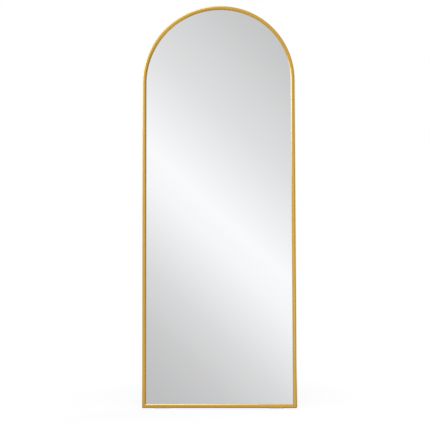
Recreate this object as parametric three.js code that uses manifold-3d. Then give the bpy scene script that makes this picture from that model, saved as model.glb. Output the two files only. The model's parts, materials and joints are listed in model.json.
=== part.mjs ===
// A full-length floor mirror with an arched top, in a slim metal frame.
// It leans back on a U-shaped stand, which is hinged behind it and folds flat against its back.
//
// Millimetres, +Z up, and the glass faces -Y. Left and right are those of a person in front of it.
// The pieces of the panel are placed in the panel's own frame, which leans back as a whole:
// x across from the middle, y back from the front of the frame, z up from the frame's bottom edge.
// An inset is a distance inwards from the frame's outer edge, all the way round.

import * as THREE from "three";
import { mergeVertices } from "three/addons/utils/BufferGeometryUtils.js";
import Module from "manifold-3d";

const wasm = await Module();
wasm.setup();

// ---- Driving dimensions ----

// The panel
const WIDTH = 650;
const HEIGHT = 1700;
const LEAN = THREE.MathUtils.degToRad(6);
const FIT = 0.3; // between pieces that touch
const HOLE_PLAY = 0.3; // round a screw or a bolt, on the radius

// The frame's hollow section
const FACE = 16; // width of the face that shows
const DEPTH = 25;
const WALL = 1.4;
const REBATE = 6; // how far the pocket for the glass reaches behind the lip
const LIP_BACK = 6.4; // from the front of the frame to the back of its lip
const OUTER_ROUND = 4.5; // radius of the face's outer edge
const SLOPE_WIDTH = 6; // the rounded slope from the crest of the face down to the glass
const SLOPE_DEPTH = 5;
const CORNER_RADIUS = 3.5; // of the two bottom corners
const MITRE_GAP = 0.3;

// What lies in the frame, from front to back
const GASKET_THICKNESS = 1;
const GASKET_SETBACK = 0.8; // behind the edge of the lip
const GLASS_THICKNESS = 4;
const BOARD_THICKNESS = 3;
const EDGE_ROOM = 0.8; // round the edge of the glass
const BLOCK_THICKNESS = 1.4;
const BLOCK_LENGTH = 60;
const BLOCK_SPACING = 320;

// Corner keys, and the screw that is used all over
const KEY_LEG = 48;
const KEY_SCREW_AT = 32; // along each leg, from the corner
const SCREW_RADIUS = 1.75;
const SCREW_LENGTH = 10;
const SCREW_POINT = 2.5;
const SCREW_HEAD_RADIUS = 3.4;
const SCREW_HEAD_HEIGHT = 2.1;
const SCREW_TOP_RADIUS = 2.1; // of the flat on top of its head
const RECESS_SPAN = 3.6;
const RECESS_WIDTH = 0.9;
const RECESS_DEPTH = 1.2;

// Clips that hold the backing board
const CLIP_THICKNESS = 1.2;
const CLIP_WIDTH = 20;
const CLIP_REACH = 13; // of the tongue over the board
const CLIP_FOOT_INSET = 1.5;
const CLIP_LOW = 330; // up each side
const CLIP_HIGH = 900;
const CLIP_ARCH_ANGLE = THREE.MathUtils.degToRad(45);

// The brace across the back, which carries the hinges
const PIVOT_UP = 1150; // up the panel
const BRACE_HEIGHT = 44;
const BRACE_THICKNESS = 2;
const BRACE_FLANGE = 7;
const BRACE_END_INSET = 2;
const BRACE_SCREW_SPACING = 24;

// Hinge brackets and pivots
const BRACKET_THICKNESS = 2.5;
const BRACKET_WIDTH = 60;
const BRACKET_CORNER = 4;
const BRACKET_SCREW_SPACING = 44;
const EAR_RADIUS = 9;
const EAR_BASE = 30;
const PIVOT_STANDOFF = 11; // from the bracket's plate to the pivot's axis
const BOLT_RADIUS = 3;
const BOLT_HEAD_RADIUS = 5.5;
const BOLT_HEAD_HEIGHT = 3.2;
const BOLT_SHOULDER_RADIUS = 4.6;
const BOLT_TOP_RADIUS = 2.8;
const BOLT_END = 1.5; // past the nut
const WASHER_RADIUS = 6.5;
const WASHER_THICKNESS = 1;
const NUT_FLATS = 10;
const NUT_HEIGHT = 6;

// The stand
const SPLAY = THREE.MathUtils.degToRad(6.5); // of its legs from the vertical, when it is open
const STAND_SPACING = 420; // between the axes of the legs
const TUBE_RADIUS = 7;
const TUBE_WALL = 1.2;
const BEND_RADIUS = 45;
const CAP_HEAD = 2;
const CAP_TOP_RADIUS = 5.2;
const CAP_STEM = 7;
const FOOT_RADIUS = 12;
const FOOT_FLAT = 9; // from the tube's axis down to the flat that stands on the floor
const FOOT_LENGTH = 40;
const FOOT_SPACING = 260;

// Rubber under and behind the frame
const PAD_LENGTH = 60;
const PAD_SPACING = 480;
const PAD_INSET = 2.5; // from the front and the back of the frame
const PAD_LEAST = 1.5; // thickness under the back edge of the frame
const BUMPER_RADIUS = 4.5;
const BUMPER_TIP_RADIUS = 3.6;
const BUMPER_HEIGHT = 5;
const BUMPER_ANGLE = THREE.MathUtils.degToRad(24); // each side of the arch's top

// Facets
const ARCH_STEPS = 48;
const ROUND_STEPS = 12;
const EDGE_STEPS = 6;
const BEND_STEPS = 7;

// ---- Sizes that follow ----

const halfWidth = WIDTH / 2;
const springline = HEIGHT - halfWidth; // where the sides end and the half circle begins
const pocketInset = FACE - REBATE;
const railMiddle = pocketInset / 2; // inset of the screws in the back of the frame
const gasketFront = LIP_BACK + FIT;
const glassFront = gasketFront + GASKET_THICKNESS + FIT;
const boardFront = glassFront + GLASS_THICKNESS + FIT;
const boardBack = boardFront + BOARD_THICKNESS;
const glassInset = pocketInset + EDGE_ROOM;
const glassBottom = pocketInset + FIT + BLOCK_THICKNESS + FIT;
const braceFront = DEPTH + FIT;
const braceBack = braceFront + BRACE_THICKNESS;
const bracketFront = braceBack + FIT;
const bracketBack = bracketFront + BRACKET_THICKNESS;
const pivotBack = bracketBack + PIVOT_STANDOFF;
const holeRadius = SCREW_RADIUS + HOLE_PLAY;
const pivotHoleRadius = BOLT_RADIUS + HOLE_PLAY;
const earInner = TUBE_RADIUS + FIT + WASHER_THICKNESS + FIT;
const earOuter = earInner + BRACKET_THICKNESS;
const standHalf = STAND_SPACING / 2;
const lift = DEPTH * Math.sin(LEAN) + PAD_LEAST; // of the frame's bottom front edge over the floor

// The open stand stops when its legs' top ends meet the brackets' plates.
const openAngle = LEAN + SPLAY;
const heel = (PIVOT_STANDOFF - TUBE_RADIUS * Math.cos(openAngle) - FIT) / Math.sin(openAngle);

// ---- Finishes ----

const finish = (color, metalness, roughness) =>
  new THREE.MeshStandardMaterial({ color, metalness, roughness });
const finishes = {
  gold: () => finish(0xd0a850, 1, 0.34),
  silvered: () => finish(0xe9ecee, 1, 0.03),
  hardboard: () => finish(0x6e5138, 0, 0.85),
  blackSteel: () => finish(0x1d1d1f, 0.4, 0.5),
  zinc: () => finish(0xb9bcc0, 1, 0.35),
  castKey: () => finish(0x8f9398, 1, 0.5),
  rubber: () => finish(0x18191b, 0, 0.9),
  silicone: () => finish(0xd9dad8, 0, 0.45),
  nylon: () => finish(0xe6e3da, 0, 0.5),
  blackPlastic: () => finish(0x151516, 0, 0.55),
};

// ---- Solids ----

/** A closed geometry as a solid that can be cut and joined. */
function toSolid(geometry) {
  const bare = geometry.clone();
  bare.deleteAttribute("normal");
  bare.deleteAttribute("uv");
  const merged = mergeVertices(bare);
  const vertProperties = merged.attributes.position.array;
  const triVerts = new Uint32Array(merged.index.array);
  return new wasm.Manifold(new wasm.Mesh({ numProp: 3, vertProperties, triVerts }));
}

/** A solid as a geometry that a mesh can show. */
function toGeometry(solid) {
  const mesh = solid.getMesh();
  const geometry = new THREE.BufferGeometry();
  geometry.setAttribute("position", new THREE.BufferAttribute(mesh.vertProperties, 3));
  geometry.setIndex(new THREE.BufferAttribute(mesh.triVerts, 1));
  geometry.computeVertexNormals();
  return geometry;
}

const subtract = (geometry, ...cutters) =>
  toGeometry(cutters.reduce((solid, cutter) => solid.subtract(toSolid(cutter)), toSolid(geometry)));
const join = (geometry, ...others) =>
  toGeometry(others.reduce((solid, other) => solid.add(toSolid(other)), toSolid(geometry)));

/** A box from its lowest to its highest corner. */
function box(low, high) {
  const size = high.map((value, axis) => value - low[axis]);
  const middle = high.map((value, axis) => (value + low[axis]) / 2);
  return new THREE.BoxGeometry(...size).translate(...middle);
}

/** A shape in the x-z plane as a plate, from y = front to y = front + thickness. */
function plate(shape, front, thickness, curveSegments = ROUND_STEPS) {
  const geometry = new THREE.ExtrudeGeometry(shape, {
    depth: thickness,
    bevelEnabled: false,
    curveSegments,
  });
  return geometry.rotateX(Math.PI / 2).translate(0, front + thickness, 0);
}

/** A shape in the y-z plane as a bar, from x = start to x = start + length. */
function bar(shape, start, length, curveSegments = ROUND_STEPS) {
  const geometry = new THREE.ExtrudeGeometry(shape, {
    depth: length,
    bevelEnabled: false,
    curveSegments,
  });
  return geometry.rotateZ(Math.PI / 2).rotateY(Math.PI / 2).translate(start, 0, 0);
}

/** A drill along y, long enough to go right through what it cuts. */
function drillThroughBack(radius, x, z) {
  const reach = 2 * (pivotBack + DEPTH);
  return new THREE.CylinderGeometry(radius, radius, reach, ROUND_STEPS).translate(x, 0, z);
}

const polygon = (...points) => new THREE.Shape(points.map(([x, y]) => new THREE.Vector2(x, y)));

/** A rectangle round the origin with rounded corners. */
function roundedRectangle(width, height, radius) {
  const x = width / 2 - radius;
  const y = height / 2 - radius;
  return new THREE.Shape()
    .absarc(x, y, radius, 0, Math.PI / 2)
    .absarc(-x, y, radius, Math.PI / 2, Math.PI)
    .absarc(-x, -y, radius, Math.PI, 1.5 * Math.PI)
    .absarc(x, -y, radius, 1.5 * Math.PI, 2 * Math.PI);
}

/** The panel's outline drawn in by an inset, with its own inset at the bottom. */
function archOutline(inset, bottom = inset, kind = THREE.Shape) {
  const radius = halfWidth - inset;
  return new kind()
    .moveTo(-radius, bottom)
    .lineTo(radius, bottom)
    .lineTo(radius, springline)
    .absarc(0, springline, radius, 0, Math.PI);
}

/** A flat sheet of the panel's outline. */
const archSheet = (inset, bottom, front, thickness) =>
  plate(archOutline(inset, bottom), front, thickness, ARCH_STEPS / 2);

/** A path of chosen stations in the x-z plane. A section that is swept along it has its x to the front. */
class StationPath extends THREE.Curve {
  constructor(stations) {
    super();
    this.stations = stations;
  }

  station(t) {
    return this.stations[Math.round(t * (this.stations.length - 1))];
  }

  getPointAt(t) {
    return this.station(t).point;
  }

  getTangentAt(t) {
    return this.station(t).tangent;
  }

  computeFrenetFrames() {
    const front = new THREE.Vector3(0, -1, 0);
    const tangents = this.stations.map((station) => station.tangent);
    return {
      tangents,
      normals: tangents.map(() => front),
      binormals: tangents.map((tangent) => tangent.clone().cross(front)),
    };
  }
}

/** One station of a path: where it is, and the angle from +x to +z in which the path runs there. */
const station = (x, z, heading) => ({
  point: new THREE.Vector3(x, 0, z),
  tangent: new THREE.Vector3(Math.cos(heading), 0, Math.sin(heading)),
});

/** The stations of a bend round a centre, from one angle to another. */
function bend(x, z, radius, from, to, steps) {
  const turn = Math.sign(to - from) * (Math.PI / 2);
  return Array.from({ length: steps + 1 }, (_, step) => {
    const angle = from + ((to - from) * step) / steps;
    return station(x + radius * Math.cos(angle), z + radius * Math.sin(angle), angle + turn);
  });
}

/** A section swept along the stations of a path. */
function sweep(section, stations, curveSegments) {
  return new THREE.ExtrudeGeometry(section, {
    extrudePath: new StationPath(stations),
    steps: stations.length - 1,
    curveSegments,
  });
}

// ---- The model ----

const mirror = new THREE.Group();
const panel = new THREE.Group();
panel.rotation.x = -LEAN;
panel.position.z = lift;
mirror.add(panel);

/** Adds a named piece to a group, at a place and turned about the group's y axis. */
function addPiece(group, name, geometry, material, [x, y, z] = [0, 0, 0], turn = 0) {
  const mesh = new THREE.Mesh(geometry, material);
  mesh.name = name;
  mesh.position.set(x, y, z);
  mesh.rotation.y = turn;
  group.add(mesh);
}

const sides = [
  { side: "left", sign: -1 },
  { side: "right", sign: 1 },
];

// ---- Frame ----

/** The rail's section, or its hollow, drawn in by a wall: x runs to the front, and y is the inset. */
function railLine(wall, kind) {
  const roundRadius = OUTER_ROUND - wall;
  const slopeDepth = SLOPE_DEPTH - wall;
  const slopeWidth = SLOPE_WIDTH - wall;
  const lip = wall - LIP_BACK;
  return new kind()
    .moveTo(wall - DEPTH, wall)
    .lineTo(-OUTER_ROUND, wall)
    .absarc(-OUTER_ROUND, OUTER_ROUND, roundRadius, -Math.PI / 2, 0)
    .lineTo(-wall, FACE - SLOPE_WIDTH)
    .absellipse(-SLOPE_DEPTH, FACE - SLOPE_WIDTH, slopeDepth, slopeWidth, 0, Math.PI / 2)
    .lineTo(lip, FACE - wall)
    .lineTo(lip, pocketInset - wall)
    .lineTo(wall - DEPTH, pocketInset - wall);
}

function railSection() {
  const section = railLine(0, THREE.Shape);
  section.holes.push(railLine(WALL, THREE.Path));
  return section;
}

/** The space of the bottom rail between its two mitres, which are moved outwards by a growth. */
function betweenMitres(growth) {
  const reach = halfWidth + growth;
  const top = 2 * FACE;
  const shape = polygon(
    [-reach - FACE, -FACE],
    [reach + FACE, -FACE],
    [reach - top, top],
    [top - reach, top],
  );
  return plate(shape, -DEPTH, 3 * DEPTH);
}

/** What rounds off one bottom corner of the frame. */
function cornerOff(sign) {
  const reach = 2 * CORNER_RADIUS;
  const x = halfWidth - CORNER_RADIUS;
  const corner = new THREE.Shape()
    .moveTo(x, 0)
    .lineTo(x, -reach)
    .lineTo(x + reach, -reach)
    .lineTo(x + reach, CORNER_RADIUS)
    .lineTo(halfWidth, CORNER_RADIUS)
    .absarc(x, CORNER_RADIUS, CORNER_RADIUS, 0, -Math.PI / 2, true);
  const cutter = plate(corner, -DEPTH, 3 * DEPTH, EDGE_STEPS / 2);
  return sign < 0 ? cutter.rotateZ(Math.PI).translate(0, DEPTH, 0) : cutter;
}

/** Where the clips sit: a place on the frame's outer edge, and the turn that points +x inwards. */
function clipPlaces() {
  const onArch = (angle) => [halfWidth * Math.cos(angle), springline + halfWidth * Math.sin(angle)];
  const arch = { left: Math.PI / 2 + CLIP_ARCH_ANGLE, right: Math.PI / 2 - CLIP_ARCH_ANGLE };
  const onSides = sides.flatMap(({ side, sign }) => [
    { name: `${side}_low`, at: [sign * halfWidth, CLIP_LOW], turn: sign < 0 ? 0 : Math.PI },
    { name: `${side}_high`, at: [sign * halfWidth, CLIP_HIGH], turn: sign < 0 ? 0 : Math.PI },
    { name: `${side}_arch`, at: onArch(arch[side]), turn: Math.PI - arch[side] },
  ]);
  return [...onSides, { name: "bottom", at: [0, 0], turn: -Math.PI / 2 }];
}

/** Where a clip's screw goes: inwards of the clip's place by the middle of the rail. */
function clipScrewAt({ at: [x, z], turn }) {
  return [x + railMiddle * Math.cos(turn), z - railMiddle * Math.sin(turn)];
}

const clips = clipPlaces();
const clipHoles = clips.map(clipScrewAt);
const keyScrews = sides.flatMap(({ side, sign }) => [
  { name: `${side}_side`, at: [sign * (halfWidth - railMiddle), KEY_SCREW_AT] },
  { name: `${side}_bottom`, at: [sign * (halfWidth - KEY_SCREW_AT), railMiddle] },
]);
const braceScrews = sides.flatMap(({ side, sign }) =>
  [
    { level: "upper", rise: BRACE_SCREW_SPACING / 2 },
    { level: "lower", rise: -BRACE_SCREW_SPACING / 2 },
  ].map(({ level, rise }) => ({
    name: `${side}_${level}`,
    at: [sign * (halfWidth - railMiddle), PIVOT_UP + rise],
  })),
);
const drills = [...clipHoles, ...keyScrews.map(({ at }) => at), ...braceScrews.map(({ at }) => at)];

/** Drills for the screws in the back wall of the frame; they stop in the hollow. */
function backWallDrills() {
  return drills.map(([x, z]) => {
    const length = 2 * WALL + 2 * FIT;
    const drill = new THREE.CylinderGeometry(holeRadius, holeRadius, length, ROUND_STEPS);
    return drill.translate(x, DEPTH - WALL / 2, z);
  });
}

function addFrame() {
  const section = railSection();
  const arch = [
    station(-halfWidth, 0, Math.PI / 2),
    ...bend(0, springline, halfWidth, Math.PI, 0, ARCH_STEPS),
    station(halfWidth, 0, -Math.PI / 2),
  ];
  const bottom = [station(halfWidth, 0, Math.PI), station(-halfWidth, 0, Math.PI)];
  const corners = sides.map(({ sign }) => cornerOff(sign));
  const cuts = [...corners, ...backWallDrills()];
  const archRail = subtract(sweep(section, arch, EDGE_STEPS / 2), betweenMitres(MITRE_GAP), ...cuts);
  const uncut = toSolid(sweep(section, bottom, EDGE_STEPS / 2));
  const mitred = toGeometry(uncut.intersect(toSolid(betweenMitres(0))));
  addPiece(panel, "frame_arch_rail", archRail, finishes.gold());
  addPiece(panel, "frame_bottom_rail", subtract(mitred, ...cuts), finishes.gold());
}

/** An L-shaped key that fills the frame's hollow round the left bottom corner. */
function cornerKey() {
  const near = WALL + FIT;
  const far = pocketInset - WALL - FIT;
  const shape = polygon(
    [near, near],
    [KEY_LEG, near],
    [KEY_LEG, far],
    [far, far],
    [far, KEY_LEG],
    [near, KEY_LEG],
  );
  const front = LIP_BACK + WALL;
  const key = plate(shape, front, DEPTH - WALL - FIT - front);
  const drillAt = (x, z) => drillThroughBack(holeRadius, x, z);
  return subtract(key, drillAt(railMiddle, KEY_SCREW_AT), drillAt(KEY_SCREW_AT, railMiddle));
}

/** A pan-head screw along y with a cross recess: the underside of its head is at y = 0. */
function screw() {
  const profile = [
    [0, -SCREW_LENGTH],
    [SCREW_RADIUS, SCREW_POINT - SCREW_LENGTH],
    [SCREW_RADIUS, 0],
    [SCREW_HEAD_RADIUS, 0],
    [SCREW_HEAD_RADIUS, SCREW_HEAD_HEIGHT / 2],
    [SCREW_TOP_RADIUS, SCREW_HEAD_HEIGHT],
    [0, SCREW_HEAD_HEIGHT],
  ];
  const points = profile.map(([radius, y]) => new THREE.Vector2(radius, y));
  const body = new THREE.LatheGeometry(points, ROUND_STEPS);
  const floor = SCREW_HEAD_HEIGHT - RECESS_DEPTH;
  const top = SCREW_HEAD_HEIGHT + RECESS_DEPTH;
  const slot = box([-RECESS_SPAN / 2, floor, -RECESS_WIDTH / 2], [RECESS_SPAN / 2, top, RECESS_WIDTH / 2]);
  return subtract(body, slot, slot.clone().rotateY(Math.PI / 2));
}

const screwGeometry = screw();

/** Adds a screw to the back of the panel, with its head FIT behind a seat. */
function addScrew(name, [x, z], seat) {
  addPiece(panel, name, screwGeometry, finishes.zinc(), [x, seat + FIT, z]);
}

function addCorners() {
  const key = cornerKey();
  for (const { side, sign } of sides) {
    const geometry = sign < 0 ? key : mirrored(key);
    addPiece(panel, `corner_key_${side}`, geometry, finishes.castKey(), [sign * halfWidth, 0, 0]);
  }
  for (const { name, at } of keyScrews) addScrew(`corner_screw_${name}`, at, DEPTH);
}

/** A geometry mirrored in x, with its faces turned round again to point out. */
function mirrored(geometry) {
  const copy = geometry.clone().scale(-1, 1, 1);
  const index = copy.index.array;
  for (let corner = 0; corner < index.length; corner += 3) {
    [index[corner + 1], index[corner + 2]] = [index[corner + 2], index[corner + 1]];
  }
  copy.computeVertexNormals();
  return copy;
}

// ---- Glass and backing ----

function addMirrorPack() {
  const gasket = archOutline(glassInset);
  gasket.holes.push(archOutline(FACE - GASKET_SETBACK, undefined, THREE.Path));
  const ring = plate(gasket, gasketFront, GASKET_THICKNESS, ARCH_STEPS / 2);
  addPiece(panel, "glazing_gasket", ring, finishes.rubber());
  const glass = archSheet(glassInset, glassBottom, glassFront, GLASS_THICKNESS);
  addPiece(panel, "mirror_glass", glass, finishes.silvered());
  const board = archSheet(glassInset, glassBottom, boardFront, BOARD_THICKNESS);
  addPiece(panel, "backing_board", board, finishes.hardboard());
  const low = pocketInset + FIT;
  const block = box(
    [-BLOCK_LENGTH / 2, glassFront, low],
    [BLOCK_LENGTH / 2, boardBack, low + BLOCK_THICKNESS],
  );
  for (const { side, sign } of sides) {
    const at = [(sign * BLOCK_SPACING) / 2, 0, 0];
    addPiece(panel, `setting_block_${side}`, block, finishes.blackPlastic(), at);
  }
}

/** A Z-shaped clip: its foot is screwed to the frame and its tongue holds the board. */
function clip() {
  const foot = DEPTH + FIT;
  const tongue = boardBack + FIT;
  const web = pocketInset + 2 * FIT;
  const shape = polygon(
    [CLIP_FOOT_INSET, foot],
    [web, foot],
    [web, tongue],
    [web + CLIP_REACH, tongue],
    [web + CLIP_REACH, tongue + CLIP_THICKNESS],
    [web + CLIP_THICKNESS, tongue + CLIP_THICKNESS],
    [web + CLIP_THICKNESS, foot + CLIP_THICKNESS],
    [CLIP_FOOT_INSET, foot + CLIP_THICKNESS],
  );
  const strip = new THREE.ExtrudeGeometry(shape, { depth: CLIP_WIDTH, bevelEnabled: false });
  strip.translate(0, 0, -CLIP_WIDTH / 2);
  return subtract(strip, drillThroughBack(holeRadius, railMiddle, 0));
}

function addClips() {
  const geometry = clip();
  clips.forEach(({ name, at: [x, z], turn }, index) => {
    addPiece(panel, `retainer_clip_${name}`, geometry, finishes.zinc(), [x, 0, z], turn);
    addScrew(`retainer_screw_${name}`, clipHoles[index], DEPTH + FIT + CLIP_THICKNESS);
  });
}

// ---- Brace and hinges ----

const bracketScrewOffsets = [
  { where: "outer", offset: BRACKET_SCREW_SPACING / 2 },
  { where: "inner", offset: -BRACKET_SCREW_SPACING / 2 },
];

/** Where the two screws of a bracket go. */
const bracketScrews = (sign) =>
  bracketScrewOffsets.map(({ where, offset }) => ({
    where,
    at: [sign * (standHalf + offset), PIVOT_UP],
  }));

function addBrace() {
  const half = halfWidth - BRACE_END_INSET;
  const inside = halfWidth - pocketInset - 2 * FIT;
  const low = PIVOT_UP - BRACE_HEIGHT / 2;
  const high = PIVOT_UP + BRACE_HEIGHT / 2;
  const web = box([-half, braceFront, low], [half, braceBack, high]);
  const flangeFront = braceBack - BRACE_FLANGE;
  const flanges = [low, high - BRACE_THICKNESS].map((z) =>
    box([-inside, flangeFront, z], [inside, braceBack, z + BRACE_THICKNESS]),
  );
  const holes = [
    ...braceScrews.map(({ at }) => at),
    ...sides.flatMap(({ sign }) => bracketScrews(sign).map(({ at }) => at)),
  ];
  const channel = join(web, ...flanges);
  const brace = subtract(channel, ...holes.map(([x, z]) => drillThroughBack(holeRadius, x, z)));
  addPiece(panel, "back_brace", brace, finishes.blackSteel());
  for (const { name, at } of braceScrews) addScrew(`brace_screw_${name}`, at, braceBack);
}

/** One ear of a hinge bracket, in the y-z plane, round its pivot at z = 0. */
function earShape() {
  const ear = new THREE.Shape()
    .moveTo(bracketFront, EAR_BASE / 2)
    .lineTo(bracketFront, -EAR_BASE / 2)
    .lineTo(bracketBack, -EAR_BASE / 2)
    .absarc(pivotBack, 0, EAR_RADIUS, -Math.PI / 2, Math.PI / 2)
    .lineTo(bracketBack, EAR_BASE / 2);
  ear.holes.push(new THREE.Path().absarc(pivotBack, 0, pivotHoleRadius, 0, 2 * Math.PI));
  return ear;
}

/** A hinge bracket round its pivot at x = 0 and z = 0: a plate with two ears. */
function bracket() {
  const shape = roundedRectangle(BRACKET_WIDTH, BRACE_HEIGHT, BRACKET_CORNER);
  const base = plate(shape, bracketFront, BRACKET_THICKNESS, EDGE_STEPS / 2);
  const ears = [earInner, -earOuter].map((x) => bar(earShape(), x, BRACKET_THICKNESS, ROUND_STEPS / 2));
  const drillsHere = bracketScrewOffsets.map(({ offset }) => drillThroughBack(holeRadius, offset, 0));
  return subtract(join(base, ...ears), ...drillsHere);
}

/** A button-head bolt along x: the underside of its head is at x = 0, and it runs to -x. */
function bolt() {
  const length = 2 * (earOuter + FIT) + FIT + NUT_HEIGHT + BOLT_END;
  const profile = [
    [0, -length],
    [BOLT_RADIUS, -length],
    [BOLT_RADIUS, 0],
    [BOLT_HEAD_RADIUS, 0],
    [BOLT_HEAD_RADIUS, BOLT_HEAD_HEIGHT / 3],
    [BOLT_SHOULDER_RADIUS, (2 * BOLT_HEAD_HEIGHT) / 3],
    [BOLT_TOP_RADIUS, BOLT_HEAD_HEIGHT],
    [0, BOLT_HEAD_HEIGHT],
  ];
  const points = profile.map(([radius, y]) => new THREE.Vector2(radius, y));
  return new THREE.LatheGeometry(points, ROUND_STEPS).rotateZ(-Math.PI / 2);
}

/** A flat ring along x from x = 0, with its hole for the bolt. */
function ring(outline, thickness) {
  outline.holes.push(new THREE.Path().absarc(0, 0, pivotHoleRadius, 0, 2 * Math.PI));
  return bar(outline, 0, thickness, ROUND_STEPS / 2);
}

/** A regular hexagon by its distance across flats. */
function hexagon(flats) {
  const radius = flats / Math.sqrt(3);
  const corners = Array.from({ length: 6 }, (_, corner) => (corner * Math.PI) / 3);
  return polygon(...corners.map((angle) => [radius * Math.cos(angle), radius * Math.sin(angle)]));
}

function addHinges() {
  const bracketGeometry = bracket();
  const boltGeometry = bolt();
  const washer = ring(new THREE.Shape().absarc(0, 0, WASHER_RADIUS, 0, 2 * Math.PI), WASHER_THICKNESS);
  const nut = ring(hexagon(NUT_FLATS), NUT_HEIGHT);
  for (const { side, sign } of sides) {
    const hinge = new THREE.Group();
    hinge.position.set(sign * standHalf, 0, PIVOT_UP);
    panel.add(hinge);
    addPiece(hinge, `hinge_bracket_${side}`, bracketGeometry, finishes.blackSteel());
    // The bolt's head is on the outside and its nut on the inside.
    const outwards = sign > 0 ? 0 : Math.PI;
    const along = (distance) => [sign * distance, pivotBack, 0];
    addPiece(hinge, `pivot_bolt_${side}`, boltGeometry, finishes.zinc(), along(earOuter + FIT), outwards);
    addPiece(hinge, `pivot_nut_${side}`, nut, finishes.zinc(), along(-earOuter - FIT), outwards + Math.PI);
    const washerAt = TUBE_RADIUS + FIT;
    addPiece(hinge, `pivot_washer_${side}_outer`, washer, finishes.nylon(), along(washerAt), outwards);
    addPiece(
      hinge,
      `pivot_washer_${side}_inner`,
      washer,
      finishes.nylon(),
      along(-washerAt),
      outwards + Math.PI,
    );
    for (const { where, at } of bracketScrews(sign)) {
      addScrew(`bracket_screw_${side}_${where}`, at, bracketBack);
    }
  }
}

// ---- Stand ----

/** The pivot's place when the panel leans, and the length of the legs that reach the floor from it. */
const pivot = new THREE.Vector3(0, pivotBack, PIVOT_UP).applyEuler(panel.rotation).add(panel.position);
const legLength = (pivot.z - FOOT_FLAT) / Math.cos(SPLAY);

/** A U of bent tube in the x-z plane: both pivots are at z = 0 and its foot bar is at -legLength. */
function standTube() {
  const section = new THREE.Shape().absarc(0, 0, TUBE_RADIUS, 0, 2 * Math.PI);
  section.holes.push(new THREE.Path().absarc(0, 0, TUBE_RADIUS - TUBE_WALL, 0, 2 * Math.PI));
  const x = standHalf - BEND_RADIUS;
  const z = BEND_RADIUS - legLength;
  const top = heel - CAP_HEAD - FIT;
  const stations = [
    station(-standHalf, top, -Math.PI / 2),
    ...bend(-x, z, BEND_RADIUS, Math.PI, 1.5 * Math.PI, BEND_STEPS),
    ...bend(x, z, BEND_RADIUS, 1.5 * Math.PI, 2 * Math.PI, BEND_STEPS),
    station(standHalf, top, Math.PI / 2),
  ];
  const drill = new THREE.CylinderGeometry(pivotHoleRadius, pivotHoleRadius, 2 * WIDTH, ROUND_STEPS);
  return subtract(sweep(section, stations, ROUND_STEPS / 2), drill.rotateZ(Math.PI / 2));
}

/** A plug with a domed head: the underside of its head is at z = 0, and its stem is below. */
function tubeCap() {
  const stem = TUBE_RADIUS - TUBE_WALL - FIT;
  const profile = [
    [0, -CAP_STEM],
    [stem, -CAP_STEM],
    [stem, 0],
    [TUBE_RADIUS, 0],
    [TUBE_RADIUS, CAP_HEAD / 2],
    [CAP_TOP_RADIUS, CAP_HEAD],
    [0, CAP_HEAD],
  ];
  const points = profile.map(([radius, y]) => new THREE.Vector2(radius, y));
  return new THREE.LatheGeometry(points, ROUND_STEPS).rotateX(Math.PI / 2);
}

/** A rubber sleeve round the foot bar with a flat for the floor, along x round the tube's axis. */
function footSleeve() {
  const edge = Math.acos(FOOT_FLAT / FOOT_RADIUS);
  const outline = new THREE.Shape().absarc(0, 0, FOOT_RADIUS, edge - Math.PI / 2, 1.5 * Math.PI - edge);
  outline.holes.push(new THREE.Path().absarc(0, 0, TUBE_RADIUS + FIT, 0, 2 * Math.PI));
  return bar(outline, -FOOT_LENGTH / 2, FOOT_LENGTH);
}

function addStand() {
  const stand = new THREE.Group();
  stand.position.copy(pivot);
  stand.rotation.x = SPLAY;
  mirror.add(stand);
  addPiece(stand, "stand_tube", standTube(), finishes.blackSteel());
  const feet = new THREE.Group();
  feet.position.z = -legLength;
  feet.rotation.x = -SPLAY;
  stand.add(feet);
  const cap = tubeCap();
  const sleeve = footSleeve();
  for (const { side, sign } of sides) {
    const capAt = [sign * standHalf, 0, heel - CAP_HEAD];
    addPiece(stand, `tube_cap_${side}`, cap, finishes.blackPlastic(), capAt);
    addPiece(feet, `stand_foot_${side}`, sleeve, finishes.rubber(), [(sign * FOOT_SPACING) / 2, 0, 0]);
  }
}

// ---- Rubber pads and bumpers ----

/** A wedge under the bottom rail: its underside lies level on the floor. */
function floorPad() {
  const floorAt = (y) => (y * Math.sin(LEAN) - lift) / Math.cos(LEAN);
  const front = PAD_INSET;
  const back = DEPTH - PAD_INSET;
  const shape = polygon([front, floorAt(front)], [back, floorAt(back)], [back, -FIT], [front, -FIT]);
  return bar(shape, -PAD_LENGTH / 2, PAD_LENGTH);
}

/** A tapered rubber stud along y, from y = 0 to the back. */
function bumper() {
  const stud = new THREE.CylinderGeometry(BUMPER_TIP_RADIUS, BUMPER_RADIUS, BUMPER_HEIGHT, ROUND_STEPS);
  return stud.translate(0, BUMPER_HEIGHT / 2, 0);
}

function addRubber() {
  const pad = floorPad();
  const stud = bumper();
  for (const { side, sign } of sides) {
    addPiece(panel, `floor_pad_${side}`, pad, finishes.silicone(), [(sign * PAD_SPACING) / 2, 0, 0]);
    const radius = halfWidth - railMiddle;
    const x = sign * radius * Math.sin(BUMPER_ANGLE);
    const z = springline + radius * Math.cos(BUMPER_ANGLE);
    addPiece(panel, `wall_bumper_${side}`, stud, finishes.rubber(), [x, DEPTH + FIT, z]);
  }
}

addFrame();
addCorners();
addMirrorPack();
addClips();
addBrace();
addHinges();
addStand();
addRubber();

// The origin is on the floor, under the middle of the whole object.
const extent = new THREE.Box3().setFromObject(mirror, true);
mirror.position.y = -(extent.min.y + extent.max.y) / 2;

export default mirror;
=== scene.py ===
"""Rebuilds the arched leaning mirror, piece by piece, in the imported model's own frame, and lights it.

The pieces of the panel are modelled upright, in the panel's own axes: x across from its middle, y back
from the front of the frame, and z up from the frame's bottom edge. They are then leant back as the
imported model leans. The pieces of the stand are modelled round its pivots.
"""

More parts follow.
